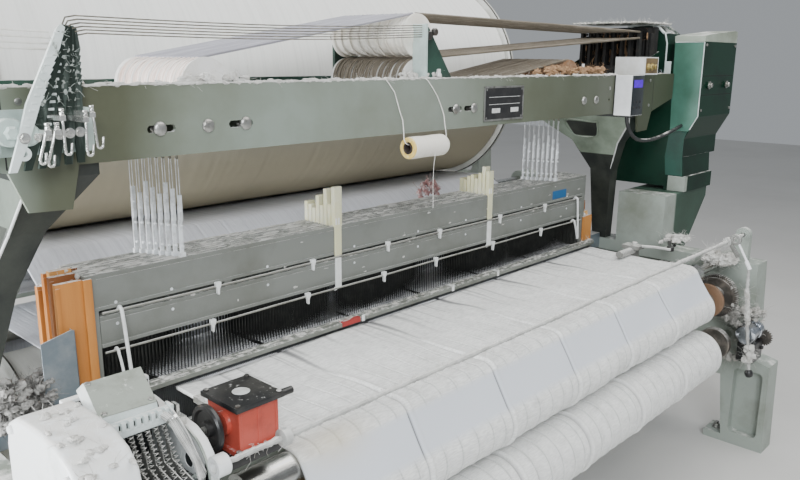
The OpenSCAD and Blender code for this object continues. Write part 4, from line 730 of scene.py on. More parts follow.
def thread_path(beam, roller, r_beam, side, z_end):
    """A warp sheet's line as (y, z) with its outward direction, from the beam to the healds."""
    r_roll = ROLLER_R + 0.0024
    d = (roller[0] - beam[0], roller[1] - beam[1])
    if side == "cross":
        leave = math.atan2(d[1], d[0]) + math.acos((r_beam + r_roll) / math.hypot(*d))
        arrive = leave + math.pi
    else:
        leave = math.atan2(d[1], d[0]) - math.acos((r_beam - r_roll) / math.hypot(*d))
        arrive = leave
    start = (beam[0] + r_beam * math.cos(leave), beam[1] + r_beam * math.sin(leave))
    e = (SHEET_END - roller[0], z_end - roller[1])
    off = math.atan2(e[1], e[0]) - math.acos(r_roll / math.hypot(*e))
    while off < 0:
        off += 2 * math.pi
    while arrive > off + math.pi:
        arrive -= 2 * math.pi
    while arrive < off - math.pi:
        arrive += 2 * math.pi
    points = [(*start, arrive)]
    first = (roller[0] + r_roll * math.cos(arrive), roller[1] + r_roll * math.sin(arrive))
    for t in (0.25, 0.5, 0.75):
        points.append((start[0] + t * (first[0] - start[0]), start[1] + t * (first[1] - start[1]), arrive))
    for a in np.linspace(arrive, off, 8):
        points.append((roller[0] + r_roll * math.cos(a), roller[1] + r_roll * math.sin(a), a))
    last = points[-1]
    for t in (0.33, 0.66, 1.0):
        points.append((last[0] + t * (SHEET_END - last[0]), last[1] + t * (z_end - last[1]), off))
    return np.array(points)


def shell(name, outer, inner, material, marks=None):
    """A closed sheet between an outer and an inner grid of points, with its marks kept per point."""
    rows, cols = outer.shape[:2]
    n = rows * cols
    rim = [*range(cols), *((r + 1) * cols - 1 for r in range(1, rows)),
           *((rows - 1) * cols + c for c in range(cols - 2, -1, -1)),
           *(r * cols for r in range(rows - 2, 0, -1))]
    sides = [(a, b, b + n, a + n) for a, b in zip(rim, rim[1:] + rim[:1])]
    r, c = np.meshgrid(np.arange(rows - 1), np.arange(cols - 1), indexing="ij")
    a = r * cols + c
    quads = np.stack([a, a + 1, a + cols + 1, a + cols], -1).reshape(-1, 4)
    verts = np.concatenate([outer.reshape(-1, 3), inner.reshape(-1, 3)])
    faces = np.concatenate([quads, quads[:, ::-1] + n, np.array(sides)])
    return piece(name, [(verts.tolist(), faces.tolist())], material, "root", smooth=180,
                 marks=None if marks is None else np.concatenate([marks.reshape(-1, 3)] * 2))


def thread_sheet(name, line, seed):
    """A sheet of parallel threads: ridges across it and a few missing ones."""
    draw = np.random.default_rng(seed)
    x = np.arange(-SHEET_HALF, SHEET_HALF + 1e-6, 0.0039)
    ridge = np.where(np.arange(len(x)) % 2, 0.0007, -0.0004) + draw.uniform(-0.0004, 0.0003, len(x))
    ridge = 0.0012 + np.where(draw.random(len(x)) < 0.02, -0.001, ridge)
    top, low = (np.array([np.stack([x, y + math.cos(a) * rise, z + math.sin(a) * rise], -1)
                          for y, z, a in line]) for rise in (ridge, -0.0008 + 0 * x))
    made = shell(name, top, low, warp_white)
    run = float(np.sum(np.hypot(np.diff(line[:, 0]), np.diff(line[:, 1]))))
    return made, (2 * SHEET_HALF, run)


pile_line = thread_path(PILE_BEAM[:2], HIGH_ROLLER, PILE_BEAM[2] + 0.0024, "cross", WARP_Z + 0.026)
ground_line = thread_path(GROUND_BEAM[:2], LOW_ROLLER, GROUND_BEAM[2] + 0.0024, "same", WARP_Z)
pile_sheet, pile_flat = thread_sheet("pile_warp_sheet", pile_line, 5)
ground_sheet, ground_flat = thread_sheet("ground_warp_sheet", ground_line, 6)
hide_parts("warp_sheets")
# The shed's warp is the same white yarn as the sheets, coloured grey here: painted shade under the heald
# frames.
shed_painted_shade = surface("shed_painted_shade", (0.5, 0.5, 0.51), (0.72, 0.72, 0.73), 0.9, scale=9, patch_from=0.4,
                    patch_to=0.6)


def threads(name, starts, ends):
    """Straight warp threads from one row of points to another."""
    side = np.array([[THREAD_R, 0, 0], [0, 0, THREAD_R], [-THREAD_R, 0, 0], [0, 0, -THREAD_R]])
    verts = np.stack([starts[:, None, :] + side, ends[:, None, :] + side], 1).reshape(-1, 3)
    one = np.array([[0, 1, 5, 4], [1, 2, 6, 5], [2, 3, 7, 6], [3, 0, 4, 7], [3, 2, 1, 0], [4, 5, 6, 7]])
    faces = (np.arange(len(starts))[:, None, None] * 8 + one).reshape(-1, 4)
    made = piece(name, [(verts.tolist(), faces.tolist())], shed_painted_shade, None)
    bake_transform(made)


for n, eye_y in enumerate(FRAME_Y):
    body = "heald_frame_%d" % (n + 1)
    x = np.arange(SHED_LEFT + 0.00097 * n, SHED_RIGHT, THREAD_PITCH)
    slit = np.abs((x - SHED_RIGHT - 0.006 + 0.0125 + TOWEL_WIDTH / 2) % TOWEL_WIDTH - TOWEL_WIDTH / 2)
    x = x[slit > 0.009]
    fan = np.random.default_rng(60 + n).uniform(-0.0012, 0.0012, len(x))
    fell, eyes, back = (np.stack([across, np.full_like(x, y), np.full_like(x, z)], -1)
                        for across, y, z in ((x, FELL_Y, WARP_Z + 0.0006), (x + fan, eye_y, EYE_Z),
                                             (x * SHEET_HALF / 1.12, SHEET_END + 0.002,
                                              WARP_Z + (0.026 if n % 2 else 0.001))))
    threads("shed_threads_%d" % (n + 1), fell, eyes)
    threads("back_threads_%d" % (n + 1), eyes, back)


# --- Terry cloth -------------------------------------------------------------
# Six white terry towels woven side by side, with a slack ridge and a slit line between
# neighbours. The web runs from the reed over the breast roller and round the take-up roller,
# and the smooth border band that has no loops lies on the slope.
TOWELS, CLOTH_LEFT, CLOTH_RIGHT = 6, -1.038, 1.128
TOWEL = (CLOTH_RIGHT - CLOTH_LEFT) / TOWELS
CLOTH_THICK, FELL, BORDER_BAND = 0.006, -0.398, (0.516, 0.632)
FOLD_LINES = (0.16, 0.34, 0.52, 0.7, 0.86)
BREAST, TAKE_UP, ROLL = (-0.87, 0.862, 0.0424), (-0.914, 0.74, 0.071), (-0.945, 0.536, 0.108)


def terry_finish(name, band):
    """White loops with soft grain; the band's share is smooth, and slits and fold lines are darker: painted
    shade.
    """
    mat = surface(name, (0.86, 0.86, 0.84), (0.74, 0.74, 0.72), 0.92, scale=26, grain=420, relief=0.9)
    split = add_node(mat, "SeparateXYZ",
                     {0: add_node(mat, "Attribute", {}, attribute_name="marks")["Vector"]})
    speckle = add_node(mat, "TexNoise", {"Scale": 95.0, "Detail": 5.0})[0]
    loops = add_node(mat, "MapRange",
                     {"Value": speckle, "From Min": 0.38, "From Max": 0.62, "To Min": 0.8})[0]
    colour = add_node(mat, "VectorMath", {0: colour_of(mat), 1: loops}, operation="MULTIPLY")[0]
    # Marks: the smooth band's own tone; the slit mark, painted shade in slits and creases; soil.
    for share, shade in zip(split, (band, (0.085, 0.085, 0.09), (0.62, 0.54, 0.38))):
        colour = mixed(mat, share, colour, (*shade, 1))
    rough = add_node(mat, "MapRange", {"Value": split[0], "To Min": 0.9, "To Max": 0.12})[0]
    fill(mat, shader_of(mat).inputs["Normal"].links[0].from_node, {"Strength": rough})
    fill(mat, shader_of(mat), {"Base Color": colour, "Sheen Weight": 0.12, "Sheen Roughness": 0.6})
    return mat


def towel_columns():
    """Places across the cloth, close together at the slits and fold lines."""
    at_slit = (-0.024, -0.02, -0.0175, -0.0155, -0.0135, -0.0115, -0.009, -0.006, -0.003, 0.0, 0.003, 0.006,
               0.009, 0.013)
    at_fold = (-0.006, -0.003, -0.0012, 0.0006, 0.0024, 0.005)
    columns = {round(CLOTH_LEFT + t * TOWEL + d, 5) for t in range(TOWELS + 1) for d in at_slit}
    for t in range(TOWELS):
        columns |= {round(CLOTH_LEFT + (t + line) * TOWEL + d, 5) for line in FOLD_LINES for d in at_fold}
        columns |= {round(CLOTH_LEFT + (t + k / 30) * TOWEL, 5) for k in range(1, 30)}
    kept = [CLOTH_LEFT]
    for x in sorted(columns):
        if x - kept[-1] > 0.0009 and x < CLOTH_RIGHT - 0.0009:
            kept.append(x)
    return np.array(kept + [CLOTH_RIGHT])


def dip(distance, width):
    """1 at the middle of a groove, 0 at its sides."""
    return np.exp(-(distance / width) ** 2)


def web_path():
    """The web's line as (y, z) with its outward direction, and the length run so far."""
    rb, rt = BREAST[2] + CLOTH_THICK / 2, TAKE_UP[2] + CLOTH_THICK / 2
    rr = ROLL[2] + CLOTH_THICK / 2 + 0.0004
    d = (TAKE_UP[0] - BREAST[0], TAKE_UP[1] - BREAST[1])
    leave = math.atan2(d[1], d[0]) - math.acos((rb - rt) / math.hypot(*d)) + 2 * math.pi
    d = (ROLL[0] - TAKE_UP[0], ROLL[1] - TAKE_UP[1])
    nip = math.atan2(d[1], d[0]) - math.acos((rt + rr) / math.hypot(*d)) + 2 * math.pi
    points = [(y, BREAST[1] + rb, math.pi / 2) for y in np.linspace(FELL, BREAST[0], 46)]
    for a in np.linspace(math.pi / 2, leave, 14)[1:]:
        points.append((BREAST[0] + rb * math.cos(a), BREAST[1] + rb * math.sin(a), a))
    last, turn = points[-1], (TAKE_UP[0] + rt * math.cos(leave), TAKE_UP[1] + rt * math.sin(leave))
    for k in np.linspace(0, 1, 12)[1:]:
        points.append((last[0] + k * (turn[0] - last[0]), last[1] + k * (turn[1] - last[1]), leave))
    for a in np.linspace(leave, nip, 21)[1:]:
        points.append((TAKE_UP[0] + rt * math.cos(a), TAKE_UP[1] + rt * math.sin(a), a))
    last, turn = points[-1], (ROLL[0] - rr * math.cos(nip), ROLL[1] - rr * math.sin(nip))
    for k in np.linspace(0, 1, 8)[1:]:
        points.append((last[0] + k * (turn[0] - last[0]), last[1] + k * (turn[1] - last[1]), nip))
    path = np.array(points)
    run = np.r_[0, np.cumsum(np.hypot(np.diff(path[:, 0]), np.diff(path[:, 1])))]
    return path, run


path, run = web_path()
columns = towel_columns()
share = ((columns - CLOTH_LEFT) / TOWEL) % 1.0
from_slit = (share - np.round(share)) * TOWEL
inside = (np.round((columns - CLOTH_LEFT) / TOWEL) % TOWELS != 0).astype(float)
noise = np.random.default_rng(7)
S, X = np.meshgrid(run, columns, indexing="ij")
FS = np.broadcast_to(from_slit, S.shape)
INNER = np.broadcast_to(inside, S.shape)
band = 1 / (1 + np.exp(-(S - BORDER_BAND[0]) / 0.0022)) - 1 / (1 + np.exp(-(S - BORDER_BAND[1]) / 0.0022))
ramp = np.clip((S - 0.14) / 0.3, 0, 1)
terry_share = (1 - band) * ramp
height = 0.0068 * dip(FS - 0.001, 0.0075) * (0.25 + 0.75 * terry_share) * INNER * (0.3 + 0.7 * ramp)
height -= 0.0046 * dip(FS + 0.0125, 0.0026) * INNER * ramp
# The slit mark darkens the grooves between towels: painted shade.
slit = 0.95 * dip(FS + 0.0125, 0.0026) * INNER * np.clip(ramp + 0.15, 0, 1) * (0.5 + 0.5 * band)
for line in FOLD_LINES:
    d = (np.broadcast_to(share, S.shape) - line) * TOWEL
    height += (0.0019 * dip(d - 0.002, 0.003) - 0.0027 * dip(d + 0.001, 0.0018)) * terry_share
    # Fold lines are darkened through the slit mark: painted shade in the creases.
    slit = np.maximum(slit, 0.36 * dip(d + 0.001, 0.0022) * terry_share)
height -= 0.0016 * band
for k in range(26):
    along, across = noise.uniform(3, 14), noise.uniform(4, 22)
    turn, size = noise.uniform(0, 6.28, 2), 0.0016 / (1 + 0.09 * across)
    height += size * np.sin(along * S * 2 + turn[0]) * np.sin(across * X + turn[1])
height += 0.0012 * np.maximum(0, 1 - np.abs(S - 0.3) / 0.28) * np.sin(X * 41 + 5 * S)
# Near the reed the slit mark also darkens wedges at the slits, painted shade in the gaps, and short lines
# across the towels.
near_reed = np.clip(1 - S / 0.25, 0, 1)
slit = np.maximum(slit, 0.92 * near_reed ** 0.5 * np.clip(1.35 - np.abs(FS + 0.004)
                                                          / (0.003 + 0.011 * near_reed), 0, 1) * INNER)
lines = noise.uniform(0, 1, (TOWELS, 9))
for t in range(TOWELS):
    for place in lines[t]:
        x = CLOTH_LEFT + (t + 0.06 + 0.9 * place) * TOWEL
        reach = 0.1 + 0.22 * ((place * 7.3) % 1)
        slit = np.maximum(slit, 0.75 * dip(X - x, 0.0022) * np.clip(1 - S / reach, 0, 1) ** 0.7)
edge = np.minimum(X - CLOTH_LEFT, CLOTH_RIGHT - X)
height += 0.0035 * np.exp(-edge / 0.006) * np.clip((S - 0.35) / 0.1, 0, 1)
soil = 0.55 * np.exp(-((X + 0.93) / 0.1) ** 2) * np.exp(-((S - 0.5) / 0.055) ** 2)
half = CLOTH_THICK / 2
rows, cols = S.shape
normal_y, normal_z = np.cos(path[:, 2])[:, None], np.sin(path[:, 2])[:, None]
top = np.stack([X, path[:, :1] + normal_y * (half + height), path[:, 1:2] + normal_z * (half + height)], -1)
under = np.stack([X, path[:, :1] - normal_y * half + 0 * X, path[:, 1:2] - normal_z * half + 0 * X], -1)
cloth = shell("terry_cloth", top, under, terry_finish("terry", (0.62, 0.65, 0.7)),
              np.stack([band, slit, soil], -1))
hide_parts("cloth")


# --- Cloth roll --------------------------------------------------------------
# The finished web wound tight on its shaft: the slack ridges between the towels pile up into
# round ribs, and the fold lines make thin ones.
ROLL_Y, ROLL_Z, ROLL_R = -0.945, 0.536, 0.1079
turns = 92
angle = np.linspace(0, 2 * math.pi, turns, endpoint=False)
A, RX = np.meshgrid(angle, columns, indexing="ij")
RFS = np.broadcast_to(from_slit, A.shape)
RIN = np.broadcast_to(inside, A.shape)
relief = 0.0046 * dip(RFS - 0.002, 0.0075) * RIN - 0.011 * dip(RFS + 0.013, 0.0055) * RIN
thin = np.zeros_like(RX)
for line in FOLD_LINES:
    d = (np.broadcast_to(share, A.shape) - line) * TOWEL
    relief += 0.002 * dip(d - 0.003, 0.003) - 0.004 * dip(d + 0.0012, 0.0024)
    # Fold grooves on the roll are darkened through thin: painted shade.
    thin = np.maximum(thin, 0.34 * dip(d + 0.0012, 0.0024))
relief += 0.0007 * np.sin(3 * A + 9 * RX) * np.sin(17 * RX + 1) + 0.0005 * np.sin(5 * A - 14 * RX)
relief -= 0.004 * np.exp(-np.minimum(RX - CLOTH_LEFT, CLOTH_RIGHT - RX) / 0.004)
radius = ROLL_R - 0.0048 + relief
outer = np.stack([RX, ROLL_Y + radius * np.cos(A), ROLL_Z + radius * np.sin(A)], -1)
roll_faces = []
for r in range(turns):
    for c in range(len(columns) - 1):
        a, b = r * len(columns) + c, ((r + 1) % turns) * len(columns) + c
        roll_faces.append((a, a + 1, b + 1, b))
roll_verts = outer.reshape(-1, 3).tolist()
for side, x in ((0, CLOTH_LEFT), (len(columns) - 1, CLOTH_RIGHT)):
    ring = [r * len(columns) + side for r in range(turns)]
    for k, share_r in enumerate((0.985, 0.97, 0.94, 0.925, 0.87, 0.855, 0.78, 0.765, 0.66, 0.645, 0.5, 0.48,
                                 0.3, 0.2)):
        depth = (0.0016 if k % 2 else 0.0) * (1 if side == 0 else -1)
        start = len(roll_verts)
        for a in angle:
            r = (ROLL_R - 0.0088) * share_r * (1 + 0.006 * math.sin(a + share_r * 40))
            roll_verts.append((x + depth, ROLL_Y + r * math.cos(a), ROLL_Z + r * math.sin(a)))
        new = list(range(start, start + turns))
        roll_faces += [(ring[i], ring[(i + 1) % turns], new[(i + 1) % turns], new[i]) for i in range(turns)]
        ring = new
    roll_faces.append(tuple(ring))
roll_marks = np.zeros((len(roll_verts), 3))
# The roll's slits and fold grooves are darkened through the slit mark: painted shade.
slit = np.maximum(thin, 0.66 * dip(RFS + 0.013, 0.0045) * RIN)
roll_marks[:slit.size, 1] = slit.ravel()
winding = piece("cloth_roll_winding", [(roll_verts, roll_faces)],
                terry_finish("wound_terry", (0.62, 0.65, 0.7)), "cloth_roll", smooth=60,
                marks=roll_marks)
piece("cloth_roll_shaft",
      [turned((-1.58, ROLL_Y, ROLL_Z), ACROSS, [(0, 0.018), (0.002, 0.02), (3.158, 0.02), (3.16, 0.018)])],
      bright_steel, "cloth_roll")
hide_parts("cloth_roll")


# --- Top beam ----------------------------------------------------------------
# A folded steel channel across the loom, painted grey-green and stained by oil, with painted light
# and shade along its length, dome-headed carriage bolts in its slots, a bare black plate in a bright
# frame, and lint all along its top.
BEAM_FACE = -0.5
PLATE_LEFT, PLATE_RIGHT, PLATE_FOOT, PLATE_TOP = 0.134, 0.364, 1.554, 1.667
beam_paint = surface("beam_paint", (0.205, 0.235, 0.195), (0.125, 0.135, 0.092), 0.42, scale=1.5,
                     patch_from=0.42, patch_to=0.72, grain=300, relief=0.12, dust=1.2, dust_scale=20)
# Painted light and shade along the beam: lighter at the left end, a painted shadow of the selector levers
# beside them, and darker towards the right end.
along_x(beam_paint, ((-1.65, (1.55, 1.6, 1.75)), (-1.46, (1.5, 1.55, 1.65)), (-1.36, (0.5, 0.48, 0.4)),
                     (-1.18, (0.5, 0.48, 0.4)), (-1.02, (1.14, 1.16, 1.22)), (-0.1, (1.08, 1.06, 1.1)),
                     (0.45, (0.56, 0.56, 0.49)), (1.05, (0.27, 0.27, 0.2)), (1.65, (0.26, 0.26, 0.19))))
black_enamel = surface("black_enamel", (0.014, 0.014, 0.015), (0.035, 0.034, 0.033), 0.35, scale=26)
white_enamel = surface("white_enamel", (0.6, 0.61, 0.6), (0.46, 0.46, 0.44), 0.4, scale=60)
coat(beam_paint, "top_beam")
coat(bolt_steel, "beam_fittings")
face = BEAM_FACE - 0.0034
piece("bare_plate", [slab((PLATE_LEFT, face - 0.0008, PLATE_FOOT), (PLATE_RIGHT, face + 0.0002, PLATE_TOP))],
      black_enamel, "root", 0.0003, 1)
edge = 0.0032
bars = [(PLATE_LEFT - edge, PLATE_RIGHT + edge, z - edge, z + edge) for z in (PLATE_TOP, PLATE_FOOT)]
bars += [(x - edge, x + edge, PLATE_FOOT, PLATE_TOP) for x in (PLATE_LEFT, PLATE_RIGHT)]
piece("plate_frame", [slab((x0, face - 0.0016, z0), (x1, face + 0.0032, z1)) for x0, x1, z0, z1 in bars],
      bolt_steel, "root", 0.0008, 2)
piece("plate_fields", [slab((x, face - 0.0012, 1.578), (x + 0.048, face, 1.594))
                       for x in (0.176, 0.288)]
      + [slab((0.158, face - 0.0011, z), (0.344, face, z + 0.0016)) for z in (1.607, 1.632)], white_enamel,
      "root", 0.0003, 1)
piece("beam_seams", [prism([(x, 1.5375), (x + 0.003, 1.5375), (x + 0.003, 1.6985), (x, 1.6985)],
                           BEAM_FACE - 0.0004, BEAM_FACE + 0.0004, "y") for x in (-1.436, 1.433)],
      black_enamel, "root")
piece("beam_screws", [turned((x, BEAM_FACE - 0.0028, z), REAR, [(0, 0.005), (0.001, 0.0072), (0.003, 0.0074)],
                             18)
                      for x, z in ((1.018, 1.645), (-1.4, 1.56), (1.4, 1.56), (-1.4, 1.672), (1.4, 1.672))],
      bolt_steel, "root")


# --- Beam arms -----------------------------------------------------------------
# Leaning castings carry the beam's ends on the side frames. Their broad cheeks are painted grey
# green, the right one lighter as painted light, with a sunk pocket and a bright line along the
# edge; the posts below are black with oil.
ARM_FACE = {-1: ((0.9, -1.54), (1.24, -1.455), (1.25, -1.455), (1.38, -1.41), (1.4, -1.41), (1.51, -1.4)),
            1: ((0.9, 1.48), (1.24, 1.385), (1.25, 1.385), (1.38, 1.33), (1.484, 1.24), (1.51, 1.24))}
arm_paint = surface("arm_paint", (0.152, 0.177, 0.149), (0.074, 0.087, 0.068), 0.42, scale=4, dust=0.5)
oily_black = surface("oily_black", (0.018, 0.021, 0.019), (0.05, 0.055, 0.045), 0.4, scale=6, dust=0.3)
# The right arm's cheek is painted lighter than the left's: painted light.
along_x(arm_paint, ((-1.0, (1.0, 1.0, 1.0)), (1.0, (1.75, 1.8, 1.7))))
coat(oily_black, "beam_arms")


def arm_x(s, z):
    """Place across the loom of an arm's outer or inner face, at a height."""
    line = ARM_FACE[s]
    return float(np.interp(z, [p[0] for p in line], [p[1] for p in line]))


def arm_plate(s, outline, back, proud):
    """A plate that follows an arm's face; outline holds (y, z) pairs at one bend or less."""
    n = len(outline)
    points = [(arm_x(s, z) + back, y, z) for y, z in outline] + [(arm_x(s, z) - proud, y, z)
                                                                 for y, z in outline]
    faces = [(k, (k + 1) % n, n + (k + 1) % n, n + k) for k in range(n)]
    return points, faces + [tuple(range(n - 1, -1, -1)), tuple(range(n, 2 * n))]


for s, side in ((-1, "left"), (1, "right")):
    levels = ((1.5095, -0.489, -0.004), (1.484, -0.489, -0.004), (1.38, -0.3945, -0.1505),
              (1.251, -0.34, -0.231))
    cheeks = [arm_plate(s, [(f0, z0), (r0, z0), (r1, z1), (f1, z1)], 0.004, 0.0018)
              for (z0, f0, r0), (z1, f1, r1) in zip(levels, levels[1:])]
    piece("arm_cheeks_" + side, cheeks, arm_paint, "root")
    pocket = ((1.48, -0.33, -0.16), (1.408, -0.296, -0.178))
    (z0, f0, r0), (z1, f1, r1) = pocket
    corners = [(f0, z0), (r0, z0), (r1, z1), (f1, z1)]
    piece("arm_pocket_" + side, [arm_plate(s, corners, 0.003, 0.0026)], oily_black, "root")
    rim = [(arm_x(s, z) - 0.003, y, z) for y, z in corners + corners[:1]]
    piece("arm_rim_" + side, [swept(smooth_line(rim, 5), 0.0042, 8)], arm_paint, "root")
    edge = [(arm_x(s, z) - 0.001, f, z) for z, f, r in levels]
    piece("arm_edge_" + side, [swept(edge, 0.0034, 8)], white_enamel, "root")


# --- Pick counter and switch box ------------------------------------------------
# A white plastic counter with a violet display and a dark key field is bolted to the beam beside
# a small switch box, whose brown front carries two brass knobs in bright collars.
white_case = surface("white_case", (0.76, 0.77, 0.77), (0.62, 0.61, 0.57), 0.38, scale=10, dust=0.7,
                     dust_scale=40)
bright_white = surface("bright_white", (0.86, 0.87, 0.88), (0.78, 0.79, 0.8), 0.4, scale=30)
smoked_panel = surface("smoked_panel", (0.012, 0.016, 0.02), (0.035, 0.04, 0.045), 0.28, scale=18)
violet_display = surface("violet_display", (0.05, 0.0, 0.35), (0.08, 0.0, 0.5), 0.5, scale=90)
fill(violet_display, shader_of(violet_display),
     {"Emission Color": (0.1, 0.0, 0.8, 1), "Emission Strength": 0.42})
brown_panel = surface("brown_panel", (0.17, 0.12, 0.055), (0.09, 0.06, 0.03), 0.45, scale=16)
worn_brass = surface("worn_brass", (0.55, 0.44, 0.17), (0.3, 0.22, 0.09), 0.35, metal=0.8, scale=40)
coat(white_case, "pick_counter", "switch_box")
coat(worn_brass, "switch_knob_front", "switch_knob_rear")
piece("counter_panel", [slab((1.0612, -0.5812, 1.5312), (1.1688, -0.5774, 1.6988))], smoked_panel, "root",
      0.0015, 2)
piece("counter_display", [slab((1.076, -0.5826, 1.648), (1.154, -0.5806, 1.68))], violet_display, "root",
      0.0006, 1)
keys = []
for i in range(3):
    for j in range(2):
        keys.append(turned((1.088 + 0.027 * i, -0.583, 1.564 + 0.024 * j), REAR,
                           [(0, 0.0052), (0.0012, 0.0068), (0.003, 0.007)], 20))
piece("counter_cheek", [slab((1.059, -0.5808, 1.5306), (1.0612, -0.502, 1.6994))], bright_white, "root",
      0.0006, 1)
piece("counter_keys", keys, black_enamel, "root")
piece("counter_back", [slab((1.0585, -0.505, 1.528), (1.1715, -0.499, 1.6995))], black_enamel, "root",
      0.001, 1)
piece("switch_panel",
      [prism([(1.222, 1.7065), (1.336, 1.7065), (1.336, 1.7715), (1.222, 1.7715)], -0.5585, -0.5558, "y")],
      brown_panel, "root", 0.0012, 2)
piece("knob_collars", [turned((x, -0.5588, 1.734), FRONT, [(-0.002, 0.0125), (0.0, 0.017), (0.0008, 0.0172),
                                                           (0.0008, 0.0146), (-0.002, 0.0146)], 32,
                              ring=True) for x in (1.242, 1.282)], worn_brass, "root")


# --- Selector levers ---------------------------------------------------------------
# Six flat saw-toothed levers turn on pins in a plate at the beam's left end. Bright J-shaped
# hooks with nuts hang from them, and wires run from their tips to the drums and to a post.
LEVER_X, LEVER_Z, LEVER_STEP = -1.425, 1.607, 0.027
mint_paint = surface("mint_paint", (0.5, 0.6, 0.57), (0.3, 0.37, 0.34), 0.38, scale=7, grain=260, dust=0.5,
                     dust_scale=30)
pale_mint = surface("pale_mint", (0.64, 0.7, 0.69), (0.44, 0.5, 0.48), 0.35, scale=12, dust=0.7,
                    dust_scale=40)
grey_green_lint = surface("grey_green_lint", (0.46, 0.5, 0.47), (0.24, 0.27, 0.25), 1.0, scale=60, relief=1.0)
lever_green = surface("lever_green", (0.02, 0.031, 0.025), (0.105, 0.132, 0.117), 0.35, metal=0.3, scale=34,
                      patch_from=0.5, patch_to=0.64, stretch=(1, 1, 0.1), dust=0.35, dust_scale=60)
bright_rod = surface("bright_rod", (0.8, 0.8, 0.77), (0.55, 0.55, 0.52), 0.22, metal=0.85, scale=60)
coat(mint_paint, "lever_bracket")
coat(pale_mint, "selector_lever_1")
for n in range(2, 7):
    coat(lever_green, "selector_lever_%d" % n)
lever_draw = random.Random(17)
for i in range(6):
    body = "selector_lever_%d" % (i + 1)
    x, y = LEVER_X + LEVER_STEP * i, -0.514 - (5 - i) * 0.012 - 0.004
    front = y - 0.004
    lean = 0.42 - 0.079 * i
    rib = []
    for k in range(13):
        z = LEVER_Z + 0.02 + k * 0.0145
        at = x + (z - LEVER_Z) * lean
        rib.append(slab((at - 0.0075, front - 0.0012, z), (at + 0.004, front + 0.0004, z + 0.0048)))
    piece("lever_ribs_%d" % (i + 1), rib, pale_mint if i in (0, 2) else lever_green, body, 0.0005, 1)
    piece("lever_pin_%d" % (i + 1), [turned((x, front - 0.0015, LEVER_Z), REAR,
                                            [(-0.005, 0.0035), (-0.0045, 0.0085), (0.0, 0.0088)], 6),
                                     turned((x, front - 0.0005, LEVER_Z), REAR,
                                            [(-0.0006, 0.0108), (0.0008, 0.011)], 24)], bright_rod, "root")
HOOKS = ((0, -1.389, 1.634, -1.408, 1.563, -1.398), (1, -1.371, 1.634, -1.393, 1.557, -1.382),
         (2, -1.359, 1.66, -1.358, 1.578, -1.346), (4, -1.313, 1.655, -1.314, 1.572, -1.303),
         (5, -1.299, 1.664, -1.293, 1.586, -1.281))
for i, top_x, top_z, low_x, low_z, tip_x in HOOKS:
    y = -0.602
    bend = abs(tip_x - low_x) / 2
    middle = 0.5 * (low_x + tip_x)
    line = [(top_x, y, top_z), (0.5 * (top_x + low_x), y - 0.001, 0.5 * (top_z + low_z)),
            (low_x, y, low_z + 0.004)]
    line += [(middle + bend * math.cos(a), y, low_z - bend * math.sin(a) * 1.1)
             for a in np.linspace(math.pi, 0, 7)[1:]]
    line.append((tip_x + 0.002, y, low_z + 0.016))
    nuts = [turned((top_x, y, top_z - 0.012), UP, head(0.0054, 0.007), 6),
            turned((top_x, y, top_z - 0.003), UP, head(0.0058, 0.005), 6),
            slab((top_x - 0.006, y - 0.004, top_z - 0.022),
                 (top_x + 0.006, -0.516 - (5 - i) * 0.012, top_z - 0.012))]
    piece("j_hook_%d" % (i + 1), [swept(line, 0.0029, 8)] + nuts, bright_rod, "selector_lever_%d" % (i + 1),
          0.0004, 1)
boss = [turned((-1.412, -0.5745, 1.612), REAR, [(0, 0.018), (0.004, 0.022), (0.03, 0.022)], 36),
        turned((-1.445, -0.578, 1.618), REAR, [(0, 0.009), (0.003, 0.014), (0.012, 0.014)], 6),
        turned((-1.445, -0.57, 1.618), REAR, [(0, 0.026), (0.004, 0.028), (0.02, 0.028)], 32)]
piece("lever_bosses", boss, mint_paint, "root", smooth=30)
piece("lug_washer", [turned((-1.428, -0.581, 1.577), REAR,
                            [(0, 0.006), (0, 0.0135), (0.006, 0.014), (0.006, 0.006)], 28, ring=True)],
      pale_mint, "root")
lint("lint_on_levers", [((LEVER_X + LEVER_STEP * i + (0.42 - 0.079 * i) * dz + lever_draw.uniform(-0.008,
                                                                                                  0.01),
                          -0.52 - (5 - i) * 0.012 - lever_draw.uniform(0.0, 0.004), LEVER_Z + dz),
                         (lever_draw.uniform(0.002, 0.005), 0.002, lever_draw.uniform(0.002, 0.006)))
                        for i in range(6) for dz in [lever_draw.uniform(0.06, 0.205) for _ in range(7)]],
     "root", 18, 4, 0.01, grey_green_lint)


# --- Pulley drums ----------------------------------------------------------------
# Stacks of plastic pulleys turn on fixed shafts behind the beam: cream ones on the raised shaft
# between two green castings, and three low sets grey, pink and brown with lint.
DRUM_FRONT, DRUM_BACK, LOW_DRUM_Z, HIGH_DRUM_Z = -0.4, -0.06, 1.688, 1.834
DRUMS = (("drum_left", -0.9, LOW_DRUM_Z, 0.07), ("drum_high", -0.1, HIGH_DRUM_Z, 0.066),
         ("drum_low", -0.1, LOW_DRUM_Z, 0.07), ("drum_right", 0.85, LOW_DRUM_Z, 0.07))
cream = surface("cream_plastic", (0.88, 0.85, 0.78), (0.8, 0.74, 0.64), 0.45, scale=9, relief=0.3)
pinkish = surface("pinkish_plastic", (0.84, 0.73, 0.67), (0.72, 0.57, 0.5), 0.6, scale=9, relief=0.4,
                  dust=0.6)
pale_plastic = surface("pale_plastic", (0.74, 0.73, 0.71), (0.6, 0.57, 0.52), 0.55, scale=12, relief=0.4)
rusty = surface("rusty_plastic", (0.22, 0.115, 0.055), (0.38, 0.27, 0.19), 0.8, scale=18, relief=0.6)
casting_green = surface("casting_green", (0.022, 0.06, 0.043), (0.01, 0.022, 0.016), 0.38, scale=6, dust=0.6,
                        dust_scale=30)
